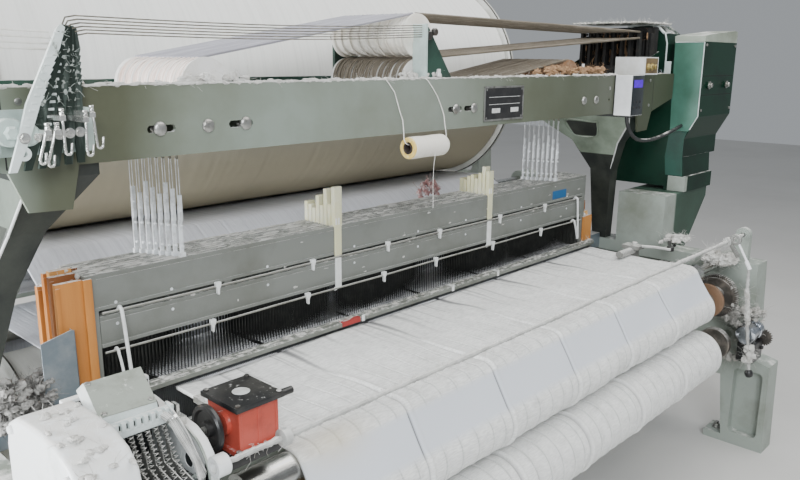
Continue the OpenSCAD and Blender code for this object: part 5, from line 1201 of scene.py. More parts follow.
for (node, x, z, r), paint in zip(DRUMS, (pinkish, cream, pale_plastic, rusty)):
    coat(paint, node)
    flanges = []
    for y, toward in ((DRUM_FRONT, -1), (DRUM_BACK, 1)):
        flanges.append(turned((x, y, z), (0, toward, 0), [(-0.01, 0.02), (-0.01, r + 0.001),
                                                          (-0.004, r + 0.004), (0.0008, r + 0.0035),
                                                          (0.0016, r - 0.006), (0.0016, 0.036),
                                                          (0.005, 0.033), (0.006, 0.024), (0.004, 0.02)], 56,
                              ring=True))
    for k in range(1, 8):
        y = DRUM_FRONT + 0.34 * k / 8
        flanges.append(turned((x, y - 0.0022, z), REAR, [(0, r - 0.004), (0.0004, r + 0.0006),
                                                         (0.004, r + 0.0006), (0.0044, r - 0.004)], 56,
                              ring=True))
    piece(node + "_flanges", flanges, {"drum_high": cream, "drum_right": rusty}.get(node, pale_plastic), node,
          smooth=25)
dark_iron = surface("dark_iron", (0.05, 0.048, 0.045), (0.14, 0.11, 0.09), 0.5, metal=0.6, scale=8, dust=0.5)
coat(casting_green, "drum_brackets")
piece("casting_edge", [slab((-0.1256, -0.456, 1.7), (-0.113, -0.454, 1.87)),
                       slab((-0.1262, -0.454, 1.7), (-0.1238, -0.402, 1.869))], mint_paint, "root",
      0.001, 1)
piece("shaft_ends", [turned((-0.1, y, z), (0, toward, 0), head(0.016, 0.006, 0.009, 0.013), 6)
                     for y, z, toward in ((-0.4455, 1.834, -1), (0.0005, 1.834, 1))]
      + [turned((-0.06, -0.433, 1.846), FRONT, head(0.012, 0.01, 0.013, 0.009), 20)], dark_iron, "root")
piece("drum_clips", [slab((x, y, z), (x + 0.014, y + 0.006, z + h))
                     for x, y, z, h in ((0.905, -0.43, 1.7, 0.046), (-0.06, -0.455, 1.705, 0.024))],
      white_plastic, "root", 0.001, 2)


# --- Lifting cables ----------------------------------------------------------------
# Stranded steel cables, grey with lint, run side by side from the jack levers over the drums and
# down to the heald frames' hangers; thin wires run from the selector levers to the castings.
HANGER_TOP, CABLE_Y0, CABLE_Y1 = 1.6, -0.388, -0.072
cable_grey = surface("cable_grey", (0.36, 0.355, 0.4), (0.5, 0.5, 0.54), 0.6, metal=0.2, scale=7, grain=500,
                     relief=0.6, stretch=(1, 14, 1))
cable_brown = surface("cable_brown", (0.155, 0.13, 0.095), (0.27, 0.235, 0.19), 0.6, metal=0.2, scale=8,
                      grain=500, relief=0.6, stretch=(1, 14, 1))
wire_dark = surface("wire_dark", (0.16, 0.15, 0.12), (0.34, 0.31, 0.24), 0.5, metal=0.4, scale=30)


def tangent(c1, r1, c2, r2, turn):
    """Angle of the normal where a cable leaves one pulley for the next; a radius below zero means
    that it crosses to the next one's other side."""
    dx, dz = c2[0] - c1[0], c2[1] - c1[1]
    return math.atan2(dz, dx) + turn * math.acos((r1 - r2) / math.hypot(dx, dz))


def round_arc(c, r, a, b, steps=10):
    """Points round a pulley from angle a to angle b."""
    return [(c[0] + r * math.cos(t), c[1] + r * math.sin(t)) for t in np.linspace(a, b, steps)]


left_c, right_c = (-0.9, LOW_DRUM_Z), (0.85, LOW_DRUM_Z)
low_c, high_c = (-0.1, LOW_DRUM_Z), (-0.1, HIGH_DRUM_Z)
low_r, high_r = 0.0722, 0.0682
jack_high, jack_low = (1.4876, 1.893), (1.4876, 1.865)
a1 = tangent(left_c, low_r, high_c, high_r, 1)
a2 = tangent(high_c, high_r, jack_high, 0, 1)
b1 = tangent(low_c, low_r, jack_low, 0, 1)
b2 = tangent(low_c, low_r, right_c, -low_r, -1) + 2 * math.pi
over_left = round_arc(left_c, low_r, math.pi, a1) + round_arc(high_c, high_r, a1, a2)
under_low = round_arc(low_c, low_r, b1, b2, 14) + round_arc(right_c, low_r, b2 - math.pi, 0)
strand = random.Random(23)


def laid(line, y, thick):
    """A strand along a line of (x, z) points, which wanders a little between its ends."""
    last = len(line) - 1
    return [(x, y + (0.0016 * math.sin(3 * x + 5 * y * 40) if 0 < i < last else 0),
             z + (thick - 0.002) * 0.4) for i, (x, z) in enumerate(line)]


to_left, to_right, to_jacks, left_strands, high_strands = [], [], [], [], []
for k in range(32):
    y = CABLE_Y0 + (CABLE_Y1 - CABLE_Y0) * k / 31 + strand.uniform(-0.002, 0.002)
    thick, sag = strand.uniform(0.0024, 0.0046), strand.uniform(-0.002, 0.002)
    to_left.append(swept(laid(over_left[9:11], y, thick), thick, 5))
    to_right.append(swept(laid(under_low, y, thick), thick, 5))
    if k % 2:
        continue
    left_strands.append(swept(laid(over_left[:10], y, thick), 0.0015, 5))
    high_strands.append(swept(laid(over_left[10:], y, thick), 0.0018, 5))
    for (x0, z0), (x1, z1) in ((over_left[-1], jack_high), (under_low[0], jack_low)):
        to_jacks.append(swept([(x0 + (x1 - x0) * t, y,
                                z0 + (z1 - z0) * t + 0.004 * math.sin(math.pi * t) * sag * 100)
                               for t in (0, 0.25, 0.5, 0.75, 1)], thick * 1.1, 5))
left_run = piece("cables_left", to_left, cable_grey, "root")
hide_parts("cable_bands")
piece("left_drum_strands", left_strands, pinkish, "root")
piece("high_drum_strands", high_strands, cream, "root")
piece("cables_right", to_right, cable_brown, "root")
to_jacks = piece("cables_to_jacks", to_jacks, cable_brown, None)
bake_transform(to_jacks)
for n, y in enumerate(FRAME_Y):
    drops, top_y = [], CABLE_Y0 + (CABLE_Y1 - CABLE_Y0) * (n + 0.5) / 8
    for hook, top_x in zip(HANGER_X, (-0.9 - low_r, 0.85 + low_r)):
        hook_x = hook + (3.5 - n) * HANGER_STEP
        drops += [swept([(top_x, top_y, LOW_DRUM_Z), (top_x + 0.3 * dx, 0.7 * top_y + 0.3 * y, 1.64),
                         (hook_x + dx, y, HANGER_TOP), (hook_x + dx, y, 1.56), (hook_x + 0.7 * dx, y, 1.508)],
                        0.0013, 5) for dx in (-0.004, 0.004)]
        drops.append(turned((hook_x, y, 1.498), UP,
                            [(0, 0.003), (0.003, 0.0046), (0.016, 0.0046), (0.019, 0.003)], 10))
    hung = piece("hanger_cables_%d" % (n + 1), drops, wire_dark, None)
    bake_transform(hung)
selector_wires = []
for i in range(6):
    y = -0.518 - (5 - i) * 0.012
    start = (LEVER_X + LEVER_STEP * i + 0.09 - 0.017 * i + 0.03, y, 1.838 - 0.0062 * i)
    end = (-0.124, -0.442, HIGH_DRUM_Z + 0.03 - 0.007 * i)
    selector_wires.append(swept([tuple(start[c] + (end[c] - start[c]) * t
                                       - (0.01 * math.sin(math.pi * t) if c == 2 else 0) for c in range(3))
                                 for t in np.linspace(0, 1, 9)], 0.0014, 6))
    tip = (LEVER_X + LEVER_STEP * i + 0.086 - 0.017 * i, y - 0.001, 1.806)
    selector_wires.append(swept([tip, (tip[0] + 0.014, y, start[2] - 0.004), start], 0.0016, 6))
piece("selector_wires", selector_wires, wire_dark, "root")
for i in range(4):
    y = -0.518 - (5 - i) * 0.012
    start = (-1.5726, y, 1.812 - 0.011 * i)
    tip = (LEVER_X + LEVER_STEP * i + 0.066 - 0.017 * i, y, 1.806 - 0.011 * i)
    cord = piece("lever_cord_%d" % (i + 1), [swept([tuple(start[c] + (tip[c] - start[c]) * t
                                                          for c in range(3)) for t in (0, 0.33, 0.66, 1)],
                                                   0.0022, 8)], white_string, None)
    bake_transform(cord)
fluff = random.Random(29)
beam_tufts = strewn(fluff, 280, (-1.64, 1.04), (-0.4985, -0.4945), 1.7003, (0.004, 0.02), (0.003, 0.005),
                    (0.0016, 0.0052))
beam_tufts += strewn(fluff, 130, (-1.62, 1.6), (-0.49, -0.415), 1.7006, (0.006, 0.024), (0.005, 0.014),
                     (0.002, 0.006))
lint("lint_on_beam", beam_tufts, "root", 30, 1, 0.01)
drum_tufts = [tuft for x in (-0.9, -0.1) for tuft in strewn(fluff, 26, (x - 0.1, x + 0.1), (-0.44, -0.402),
                                                            (1.703, 1.713), (0.006, 0.018), (0.004, 0.012),
                                                            (0.004, 0.012))]
lint("lint_by_drums", drum_tufts, "root", 31, 3, 0.016)
brown_tufts = strewn(fluff, 70, (0.6, 1.02), (-0.46, -0.402), (1.704, 1.726), (0.008, 0.026), (0.006, 0.018),
                     (0.005, 0.014))
lint("brown_lint_right", brown_tufts, "root", 32, 4, 0.022, brown_lint)


# --- Front rollers, temples and start bar ----------------------------------------
# The polished breast roller carries the cloth forward between two ringed temples that hold its
# edges out. The start bar in front is a slim steel rod furred with lint, worked by a long handle.
START_Y, START_Z = -0.96, 1.005
dull_casting = surface("dull_casting", (0.25, 0.25, 0.235), (0.13, 0.125, 0.11), 0.5, metal=0.4, scale=9,
                       dust=0.9, dust_scale=50)
linty_steel = surface("linty_steel", (0.52, 0.52, 0.5), (0.3, 0.295, 0.28), 0.75, metal=0.1, scale=24,
                      grain=700, relief=0.8, dust=1.2, dust_scale=60)
coat(bright_steel, "breast_roller")
coat(dull_casting, "temples")
for s, side, edge_x in ((-1, "left", CLOTH_LEFT), (1, "right", CLOTH_RIGHT)):
    rings = [turned((edge_x + s * (0.012 - 0.0135 * k), -0.6, 0.9297), ACROSS,
                    [(-0.004, 0.0125), (-0.0025, 0.0163), (0.0025, 0.0163), (0.004, 0.0125)], 24)
             for k in range(9)]
    piece("temple_rings_" + side, rings, linty_steel, "root", smooth=30)
    stem = [swept([(edge_x + s * 0.026, -0.64, 0.953), (edge_x + s * 0.034, -0.7, 0.957),
                   (edge_x + s * 0.052, -0.76, 0.953)], 0.006, 10),
            turned((edge_x + s * 0.03, -0.602, 0.954), UP,
                   [(0, 0.01), (0.004, 0.012), (0.01, 0.012), (0.012, 0.009)], 6)]
    piece("temple_levers_" + side, stem, linty_steel, "root", smooth=30)
fur = random.Random(41)
stations = np.linspace(-1.276, 1.497, 560)
rod_line = [(x, START_Y + fur.uniform(-0.0009, 0.0009), START_Z + fur.uniform(-0.0009, 0.0009))
            for x in stations]
rod_radius = [0.0066 + 0.0014 * math.sin(9 * x) * math.sin(23 * x + 1) + fur.uniform(-0.0007, 0.0016)
              for x in stations]
rod = piece("start_rod", [swept(rod_line, rod_radius, 9)], linty_steel, "start_bar")
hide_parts("start_bar")
hairs = []
for _ in range(520):
    x, a = fur.uniform(-1.24, 1.47), fur.uniform(0, 2 * math.pi)
    reach, line = fur.uniform(0.006, 0.022), [(x, START_Y + 0.006 * math.cos(a),
                                               START_Z + 0.006 * math.sin(a))]
    for lean, share, drop in ((0.4, 0.6, 0), (0.9, 0.9, 0.3)):
        out = 0.006 + share * reach
        line.append((x + fur.uniform(-lean, lean) * reach, START_Y + out * math.cos(a),
                     START_Z + out * math.sin(a) - drop * reach))
    hairs.append(swept(line, 0.00045, 3))
piece("rod_fur", hairs, lint_fluff, "start_bar")
piece("rod_collars", [turned((x - 0.011, START_Y, START_Z), ACROSS,
                             [(0, 0.014), (0.002, 0.019), (0.02, 0.019), (0.022, 0.014)], 28)
                      for x in (-1.12, 1.29)]
      + [turned((-1.12, START_Y, START_Z + 0.018), UP, head(0.005, 0.006), 6)], linty_steel, "start_bar",
      smooth=30)
eye = (START_Y - 0.034, START_Z + 0.014)
arm = [(START_Y - 0.06, START_Z - 0.058), (START_Y - 0.044, START_Z - 0.064),
       (START_Y - 0.008, START_Z - 0.012), (START_Y - 0.018, START_Z + 0.002)]
handle = [(1.29, START_Y - 0.1, START_Z - 0.1), (1.29, START_Y - 0.104, START_Z - 0.2),
          (1.291, START_Y - 0.118, START_Z - 0.34), (1.29, START_Y - 0.15, START_Z - 0.56)]
piece("white_link", [swept([(1.29, START_Y - 0.046, START_Z + 0.002),
                            (1.29, START_Y - 0.098, START_Z - 0.088)], 0.0048, 10),
                     swept([(1.29, START_Y - 0.086, START_Z - 0.07),
                            (1.29, START_Y - 0.104, START_Z - 0.104)], 0.0085, 10)], bright_white,
      "start_bar")
piece("start_lever", [turned((1.2845, *eye), ACROSS, [(0, 0.011), (0, 0.0225), (0.0015, 0.024),
                                                      (0.0095, 0.024), (0.011, 0.0225), (0.011, 0.011)], 32,
                             ring=True), prism(arm, 1.2845, 1.2955)], dull_casting, "start_bar",
      0.0008, 2)
handle = smooth_line(handle, 12)
handle_radius = [0.0062 + 0.0012 * math.sin(2.3 * k) + fur.uniform(0, 0.0016) for k in range(len(handle))]
piece("start_handle", [swept(handle, handle_radius, 10)], linty_steel, "start_bar")
piece("start_knob", [turned((1.29, START_Y - 0.1455, START_Z - 0.548), (0, -0.26, -0.966),
                            [(0, 0.009), (0.004, 0.0145), (0.012, 0.0172), (0.022, 0.0172), (0.03, 0.0135),
                             (0.034, 0.006), (0.035, 0)], 24)], black_enamel, "start_bar")


# --- Red gearbox and handwheel ---------------------------------------------------
# A small cast gearbox, painted red, is bolted on a black plate beside the cloth. It has a black
# lid with a bare round label, and a black cast handwheel turns its input shaft.
gear_red = surface("gear_red", (0.46, 0.075, 0.05), (0.24, 0.04, 0.03), 0.38, scale=10, patch_from=0.5,
                   patch_to=0.75, dust=0.35, dust_scale=30)
greasy_black = surface("greasy_black", (0.012, 0.012, 0.013), (0.045, 0.043, 0.04), 0.3, scale=14, dust=0.05,
                       dust_scale=70)
coat(gear_red, "red_gearbox")
coat(greasy_black, "handwheel")
lid = slab((-1.2006, -0.9126, 1.0655), (-1.0794, -0.7814, 1.0768))
piece("gearbox_lid", [lid], greasy_black, "root", 0.0015, 2)
piece("gearbox_plate", [slab((-1.2602, -0.9124, 0.9496), (-1.0816, -0.7836, 0.9664))], greasy_black, "root",
      0.0012, 2)
piece("gearbox_rod", [turned((-1.0902, -0.85, 1.04), ACROSS, [(0, 0.02), (0.006, 0.02), (0.008, 0.0135),
                                                              (0.03, 0.0135), (0.032, 0.0086),
                                                              (0.0785, 0.0086)], 24)], greasy_black, "root",
      smooth=30)
piece("lid_label", [turned((-1.142, -0.845, 1.0766), UP, head(0.019, 0.0004), 40)], white_enamel, "root")
screws = [turned((x, y, 1.0768), UP, head(0.0058, 0.003, 0.004, 0.0045), 20) for x in (-1.192, -1.088)
          for y in (-0.904, -0.79)]
screws += [turned((x, y, 0.976), UP, head(0.0062, 0.004, 0.0048, 0.005), 6) for x in (-1.194, -1.086)
           for y in (-0.905, -0.789)]
piece("gearbox_screws", screws, dark_iron, "root")
ribs = [slab((x, -0.9035, 0.976), (x + 0.007, -0.9005, 1.06)) for x in (-1.1895, -1.1435, -1.0975)]
ribs += [slab((-1.0908, y, 0.976), (-1.0888, y + 0.007, 1.06)) for y in (-0.9015, -0.8505, -0.7995)]
piece("gearbox_ribs", ribs, gear_red, "root", 0.0008, 1)
piece("wheel_nut", [turned((-1.2355, -0.85, 1.024), LEFT, head(0.0085, 0.0055, 0.007, 0.0065), 6)],
      bolt_steel, "handwheel")


# --- Selector casting ----------------------------------------------------------------
# The selector's casting on the left frame is enamelled white over mint: a tall rounded housing, an
# open well with a comb, springs and wires, and a low cheek with a hole, drawn as a black disc of
# painted shade. A bent sheet lid covers it.
HOUSING = [(-1.008, 0.935), (-1.008, 1.052), (-0.997, 1.092), (-0.966, 1.12), (-0.915, 1.137), (-0.83, 1.14),
           (-0.756, 1.134), (-0.716, 1.112), (-0.703, 1.07), (-0.703, 0.935)]
LOW_CHEEK = [(-0.938, 0.935), (-0.936, 0.985), (-0.923, 1.013), (-0.902, 1.036), (-0.868, 1.052),
             (-0.82, 1.057), (-0.77, 1.056), (-0.722, 1.064), (-0.703, 1.066), (-0.703, 0.935)]
white_casting = surface("white_casting", (0.8, 0.82, 0.82), (0.52, 0.56, 0.53), 0.36, scale=8,
                        patch_from=0.54, patch_to=0.76, dust=0.7, dust_scale=40)
lid_paint = surface("lid_paint", (0.3, 0.325, 0.285), (0.2, 0.215, 0.18), 0.45, scale=14, patch_from=0.5,
                    dust=0.05, dust_scale=40)
well_black = surface("well_black", (0.012, 0.015, 0.017), (0.05, 0.055, 0.055), 0.6, scale=24, dust=0.35,
                     dust_scale=90)
housing = piece("selector_body", [prism(HOUSING, -1.56, -1.452)], white_casting, "root", 0.011, 4, 40)
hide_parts("selector_housing")
piece("selector_bed", [slab((-1.58, -0.828, 0.88), (-1.48, -0.724, 0.934)),
                       slab((-1.47, -0.99, 0.93), (-1.262, -0.705, 0.95)),
                       slab((-1.46, -0.72, 0.948), (-1.28, -0.703, 1.118))], white_casting, "root",
      0.003, 2)
piece("selector_cheek", [prism(LOW_CHEEK, -1.284, -1.262)], white_casting, "root", 0.004, 3, 40)
piece("cheek_edge", [swept(smooth_line([(-1.2845, y, z) for y, z in LOW_CHEEK[:9]], 5), 0.003, 8)],
      machine_paint, "root")
piece("bar_ear", [turned((-1.29, START_Y, START_Z), ACROSS, [(0, 0.012), (0, 0.02), (0.002, 0.022),
                                                             (0.027, 0.022), (0.029, 0.02), (0.029, 0.012)],
                         32, ring=True),
                  prism([(-0.944, 0.989), (-0.925, 1.01), (-0.915, 0.96), (-0.936, 0.95)], -1.284, -1.264)],
      white_casting, "root", smooth=30)
knobs = [turned((-1.558, -0.94, 0.99), LEFT,
                [(0, 0.05), (0.006, 0.046), (0.038, 0.046), (0.042, 0.042), (0.042, 0.024), (0.03, 0.022)],
                48), turned((-1.452, -0.96, 1.075), ACROSS, head(0.016, 0.005, 0.007, 0.012), 28),
         turned((-1.452, -0.82, 1.105), ACROSS, head(0.012, 0.005, 0.007, 0.009), 28)]
for y, z in ((-0.985, 0.965), (-0.725, 0.965), (-0.735, 1.105), (-0.968, 1.098)):
    knobs.append(turned((-1.5602, y, z), LEFT, head(0.009, 0.004, 0.006, 0.007), 6))
piece("selector_bosses", knobs, white_casting, "root", smooth=30)
# The cheek's holes are flat black discs on its face: painted shade standing in for the holes.
piece("cheek_holes", [turned((-1.2844, -0.866, 0.984), LEFT, [(-0.001, 0.0145), (0.0006, 0.0145)], 36),
                      turned((-1.2844, -0.752, 0.972), LEFT, [(-0.001, 0.007), (0.0006, 0.007)], 28)],
      well_black, "root")
piece("hole_rims", [turned((-1.2844, -0.866, 0.984), LEFT,
                           [(-0.001, 0.014), (-0.001, 0.0185), (0.0022, 0.0175), (0.0022, 0.015)], 36,
                           ring=True)], white_casting, "root", smooth=30)
piece("selector_well", [slab((-1.4515, -0.986, 0.95), (-1.2845, -0.716, 0.956)),
                        slab((-1.4515, -0.722, 0.95), (-1.2845, -0.7195, 1.112)),
                        slab((-1.453, -0.986, 0.95), (-1.451, -0.716, 1.06)),
                        turned((-1.452, -0.745, 1.062), ACROSS, head(0.014, 0.168), 24)], well_black, "root")
comb_bar = [slab((-1.446, -0.856, 1.074), (-1.312, -0.848, 1.088)),
            slab((-1.446, -0.85, 1.098), (-1.312, -0.844, 1.106)),
            slab((-1.45, -0.862, 1.07), (-1.444, -0.838, 1.11)),
            slab((-1.314, -0.862, 1.06), (-1.308, -0.838, 1.11))]
comb_bar += [slab((-1.442 + 0.0148 * k, -0.858, 1.086), (-1.4335 + 0.0148 * k, -0.848, 1.104))
             for k in range(9)]
piece("selector_comb", comb_bar, pale_mint, "root", 0.0012, 2)
pick = random.Random(43)
coils = []
for k in range(7):
    x = -1.434 + k * 0.017
    lower, upper = Vector((x, -0.93, 0.985)), Vector((x + 0.003, -0.852, 1.072))
    axis = (upper - lower).normalized()
    side, other = cross_frame(axis)
    steps, spring = 110, []
    for i in range(steps + 1):
        a = 2 * math.pi * 13 * i / steps
        round_axis = math.cos(a) * side + math.sin(a) * other
        spring.append(tuple(lower + (upper - lower) * (i / steps) + 0.0048 * round_axis))
    coils.append(swept(spring, 0.001, 5))
piece("selector_springs", coils, dull_casting, "root")
fingers = [prism([(-0.975, 0.958), (-0.88, 0.953), (-0.85, 0.985), (-0.838, 1.066), (-0.846, 1.07),
                  (-0.864, 1.0), (-0.975, 0.975)], -1.44 + 0.017 * k, -1.437 + 0.017 * k) for k in range(8)]
piece("selector_fingers", fingers, dull_casting, "root", 0.0005, 1)
bundle = []
for k in range(20):
    a, r = pick.uniform(0, 2 * math.pi), pick.uniform(0.002, 0.012)
    dx, dz = r * math.cos(a), r * math.sin(a)
    bundle.append(swept(smooth_line([(-1.322 + 2 * dx, -0.842, 1.098 + 0.5 * dz),
                                     (-1.318 + dx, -0.872, 1.088 + dz), (-1.312 + dx, -0.9, 1.058 + dz),
                                     (-1.306 + 0.6 * dx, -0.926, 1.02 + dz),
                                     (-1.302 + 1.4 * dx, -0.944 + dx, 0.985 + dz)], 4),
                        pick.uniform(0.0011, 0.0022), 6))
piece("wire_bundle", bundle, linty_steel, "root")
piece("bundle_clips", [turned((-1.318, -0.872, 1.088), (0.1, -0.6, -0.5), head(0.0135, 0.006), 16),
                       slab((-1.3, -0.865, 1.062), (-1.284, -0.835, 1.078)),
                       slab((-1.296, -0.85, 1.07), (-1.29, -0.83, 1.1))], bright_rod, "root",
      smooth=30)
back_left, back_right = Vector((-1.424, -0.735, 1.149)), Vector((-1.305, -0.735, 1.148))
front_right, front_left = Vector((-1.33, -0.838, 1.114)), Vector((-1.445, -0.838, 1.119))
lid_up = (back_right - back_left).cross(back_left - front_left).normalized()


def sheet_on(corners, rise):
    """A thin sheet on four corners, as thick as its rise."""
    return [tuple(c) for c in corners] + [tuple(c + rise) for c in corners], BLOCK_SIDES


lid_cover = piece("housing_lid", [sheet_on((front_left, front_right, back_right, back_left), lid_up * 0.002)],
                  lid_paint, "root", 0.0006, 1)
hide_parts("housing_cover")
drop = Vector((0, -0.004, -0.016))
side_drop = Vector((-0.014, 0, -0.01))
front_fold = sheet_on((front_left, front_right, front_right + drop, front_left + drop),
                      Vector((0, 0.0014, 0)))
side_fold = sheet_on((front_left, back_left, back_left + side_drop, front_left + side_drop),
                     Vector((0, 0, 0.0018)))
piece("lid_folds", [front_fold, side_fold], pale_mint, "root", smooth=30)
lid_screws = []
for u, v in ((0.1, 0.06), (0.92, 0.1), (0.06, 0.94)):
    at = front_left + (front_right - front_left) * u + (back_left - front_left) * v
    lid_screws.append(turned(at + Vector((0, 0, 0.001)), lid_up, head(0.0058, 0.003, 0.0042, 0.0042), 20))
piece("lid_screws", lid_screws, bolt_steel, "root")
heap_draw = random.Random(44)
lint("lint_in_casting", strewn(heap_draw, 40, (-1.445, -1.295), (-0.98, -0.76), (0.962, 0.974),
                               (0.004, 0.011), (0.004, 0.011), (0.003, 0.007)), "root", 45, 4, 0.016,
     grey_green_lint)
on_casting = [tuft for _ in range(4)
              for y, z in ((-0.985, 1.102), (-0.96, 1.122), (-0.915, 1.137), (-0.86, 1.139), (-0.8, 1.138))
              for tuft in strewn(heap_draw, 1, (-1.55, -1.46), (y - 0.01, y + 0.01), z + 0.002,
                                 (0.004, 0.012), (0.004, 0.012), 0.004)]
lint("lint_on_casting", on_casting, "root", 46, 5, 0.016)


# --- Take-up drive at the right end --------------------------------------------------
# The covered take-up roller ends in a brown friction disc and a toothed wheel inside the right
# frame; lint caught in the teeth hangs there in woolly rags.
TAKE_Y, TAKE_Z = TAKE_UP[:2]
roller_cover = surface("roller_cover", (0.5, 0.4, 0.29), (0.38, 0.29, 0.2), 0.8, scale=20, relief=0.6)
brown_disc = surface("brown_disc", (0.2, 0.115, 0.065), (0.11, 0.065, 0.04), 0.5, scale=14)
gear_iron = surface("gear_iron", (0.093, 0.085, 0.076), (0.272, 0.238, 0.204), 0.45, metal=0.6, scale=16,
                    dust=0.8, dust_scale=60)
grey_rag = surface("grey_rag", (0.5, 0.485, 0.455), (0.3, 0.285, 0.26), 1.0, scale=34, grain=900, relief=1.0)
cover = piece("take_up_cover", [turned((CLOTH_LEFT - 0.02, TAKE_Y, TAKE_Z), ACROSS,
                                       [(0, 0.05), (0, 0.0695), (0.001, 0.0705),
                                        (CLOTH_RIGHT - CLOTH_LEFT + 0.039, 0.0705),
                                        (CLOTH_RIGHT - CLOTH_LEFT + 0.04, 0.0695),
                                        (CLOTH_RIGHT - CLOTH_LEFT + 0.04, 0.05)], 72)], roller_cover,
              "take_up_roller", smooth=30)
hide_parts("take_up_roller")
piece("take_up_journals", [turned((-1.58, TAKE_Y, TAKE_Z), ACROSS,
                                  [(0, 0.0258), (0.38, 0.0258), (0.382, 0.049), (0.42, 0.049)], 32),
                           turned((1.18, TAKE_Y, TAKE_Z), ACROSS,
                                  [(0, 0.049), (0.034, 0.049), (0.036, 0.0258), (0.4, 0.0258)], 32)],
      bright_steel, "take_up_roller", smooth=30)
piece("friction_disc", [turned((1.24, TAKE_Y, TAKE_Z), ACROSS, [(0, 0.03), (0, 0.07), (0.002, 0.0738),
                                                                (0.014, 0.0738), (0.016, 0.07),
                                                                (0.016, 0.046), (0.012, 0.044),
                                                                (0.012, 0.03)], 56)], brown_disc,
      "take_up_roller", smooth=30)


def toothed(y, z, radius, count, profile):
    """Outline of a toothed wheel; profile holds (share of a pitch, height) pairs."""
    turns = [(2 * math.pi * (i + k) / count, radius + h) for i in range(count) for k, h in profile]
    return [(y + r * math.cos(a), z + r * math.sin(a)) for a, r in turns]


teeth = toothed(TAKE_Y, TAKE_Z, 0.086, 60, ((0, 0), (0.3, 0), (0.42, 0.009), (0.84, 0.009)))
wheel = [prism(teeth, 1.34, 1.372), turned((1.2898, TAKE_Y, TAKE_Z), ACROSS,
                                           [(0, 0.04), (0.002, 0.0438), (0.104, 0.0438), (0.106, 0.04)], 40)]
for x, toward in ((1.3396, -1), (1.3724, 1)):
    wheel.append(turned((x, TAKE_Y, TAKE_Z), (toward, 0, 0),
                        [(-0.001, 0.072), (-0.001, 0.084), (0.003, 0.083), (0.003, 0.073)], 56, ring=True))
piece("take_up_wheel", wheel, gear_iron, "take_up_roller", smooth=30)
end_parts = [turned((1.2898, ROLL_Y, ROLL_Z), ACROSS, [(0, 0.05), (0, 0.066), (0.003, 0.0698),
                                                       (0.027, 0.0698), (0.0302, 0.066), (0.0302, 0.05),
                                                       (0.024, 0.046), (0.024, 0.03)], 48)]
piece("cloth_roll_disc", end_parts, gear_iron, "cloth_roll", smooth=30)
pin = random.Random(51)
lint("lint_on_wheel", [((1.335 + pin.uniform(0, 0.04), TAKE_Y + 0.086 * math.cos(a),
                         TAKE_Z + 0.086 * math.sin(a)),
                        (pin.uniform(0.004, 0.012), pin.uniform(0.004, 0.01), pin.uniform(0.004, 0.01)))
                       for a in [pin.uniform(0, 2 * math.pi) for _ in range(40)]], "take_up_roller", 52, 6,
     0.016, grey_rag)


# --- Stop motion beside the take-up ----------------------------------------------
# A chromed brake drum on a black bracket stands in front of the right frame, by the start
# bar's handle, and rags of lint hang round it and along the cloth roll's end.
chrome = surface("chrome", (0.62, 0.66, 0.72), (0.3, 0.33, 0.38), 0.15, metal=1.0, scale=16)
piece("brake_drum", [turned((1.322, -1.066, 0.598), ACROSS, [(0, 0.012), (0, 0.036), (0.003, 0.042),
                                                             (0.06, 0.042), (0.062, 0.038), (0.084, 0.038),
                                                             (0.086, 0.042), (0.122, 0.042), (0.125, 0.036)],
                            48)], chrome, "root", smooth=30)
wheel_teeth = toothed(-1.1, 0.56, 0.034, 22, ((0, 0), (0.3, 0), (0.45, 0.006), (0.85, 0.006)))
piece("brake_bracket", [slab((1.34, -1.104, 0.468), (1.452, -1.032, 0.553)),
                        slab((1.35, -1.08, 0.55), (1.362, -1.05, 0.6)),
                        slab((1.43, -1.08, 0.55), (1.442, -1.05, 0.6)),
                        slab((1.4, -1.062, 0.5), (1.474, -1.046, 0.64)),
                        turned((1.356, -1.104, 0.5), FRONT, head(0.009, 0.008, 0.01, 0.007), 6),
                        turned((1.436, -1.104, 0.52), FRONT, head(0.009, 0.008, 0.01, 0.007), 6)],
      greasy_black, "root", 0.002, 2)
piece("brake_sprocket",
      [prism(wheel_teeth, 1.462, 1.468), turned((1.456, -1.1, 0.56), ACROSS, head(0.014, 0.016), 24)],
      gear_iron, "root", smooth=30)
rag = random.Random(61)
tufts = []
for k in range(70):
    a = math.radians(rag.uniform(-78, 96))
    r = 0.094 + rag.uniform(-0.01, 0.008)
    tufts.append(((1.385 + rag.uniform(0, 0.07), ROLL_Y - r * math.cos(a), ROLL_Z + r * math.sin(a) * 1.1),
                  (rag.uniform(0.006, 0.014), rag.uniform(0.006, 0.014), rag.uniform(0.008, 0.02))))
tufts += strewn(rag, 34, (1.4, 1.46), (-1.11, -0.97), (0.645, 0.685), (0.008, 0.018), (0.008, 0.018),
                (0.006, 0.014))
lint("lint_by_brake", tufts, "root", 62, 6, 0.03, grey_rag)
tufts = strewn(rag, 60, (1.34, 1.45), (-0.96, -0.83), (0.88, 0.918), (0.008, 0.024), (0.008, 0.022),
               (0.006, 0.018))
lint("lint_on_journal", tufts, "root", 63, 7, 0.032)
tufts = [((1.29 + rag.uniform(-0.003, 0.003), START_Y - 0.104 - 0.016 * t, START_Z - 0.2 - 0.14 * t),
          (0.009, 0.01, rag.uniform(0.01, 0.02))) for t in np.linspace(0.0, 1.0, 12)]
tufts += strewn(rag, 12, (1.28, 1.3), (START_Y - 0.154, START_Y - 0.126), (START_Z - 0.505, START_Z - 0.44),
                (0.008, 0.016), (0.008, 0.016), (0.008, 0.018))
lint("lint_on_handle", tufts, "start_bar", 64, 7, 0.026)
link = [(1.43, -0.64, 0.958), (1.3, -0.7, 0.956), (1.205, -0.748, 0.952)]
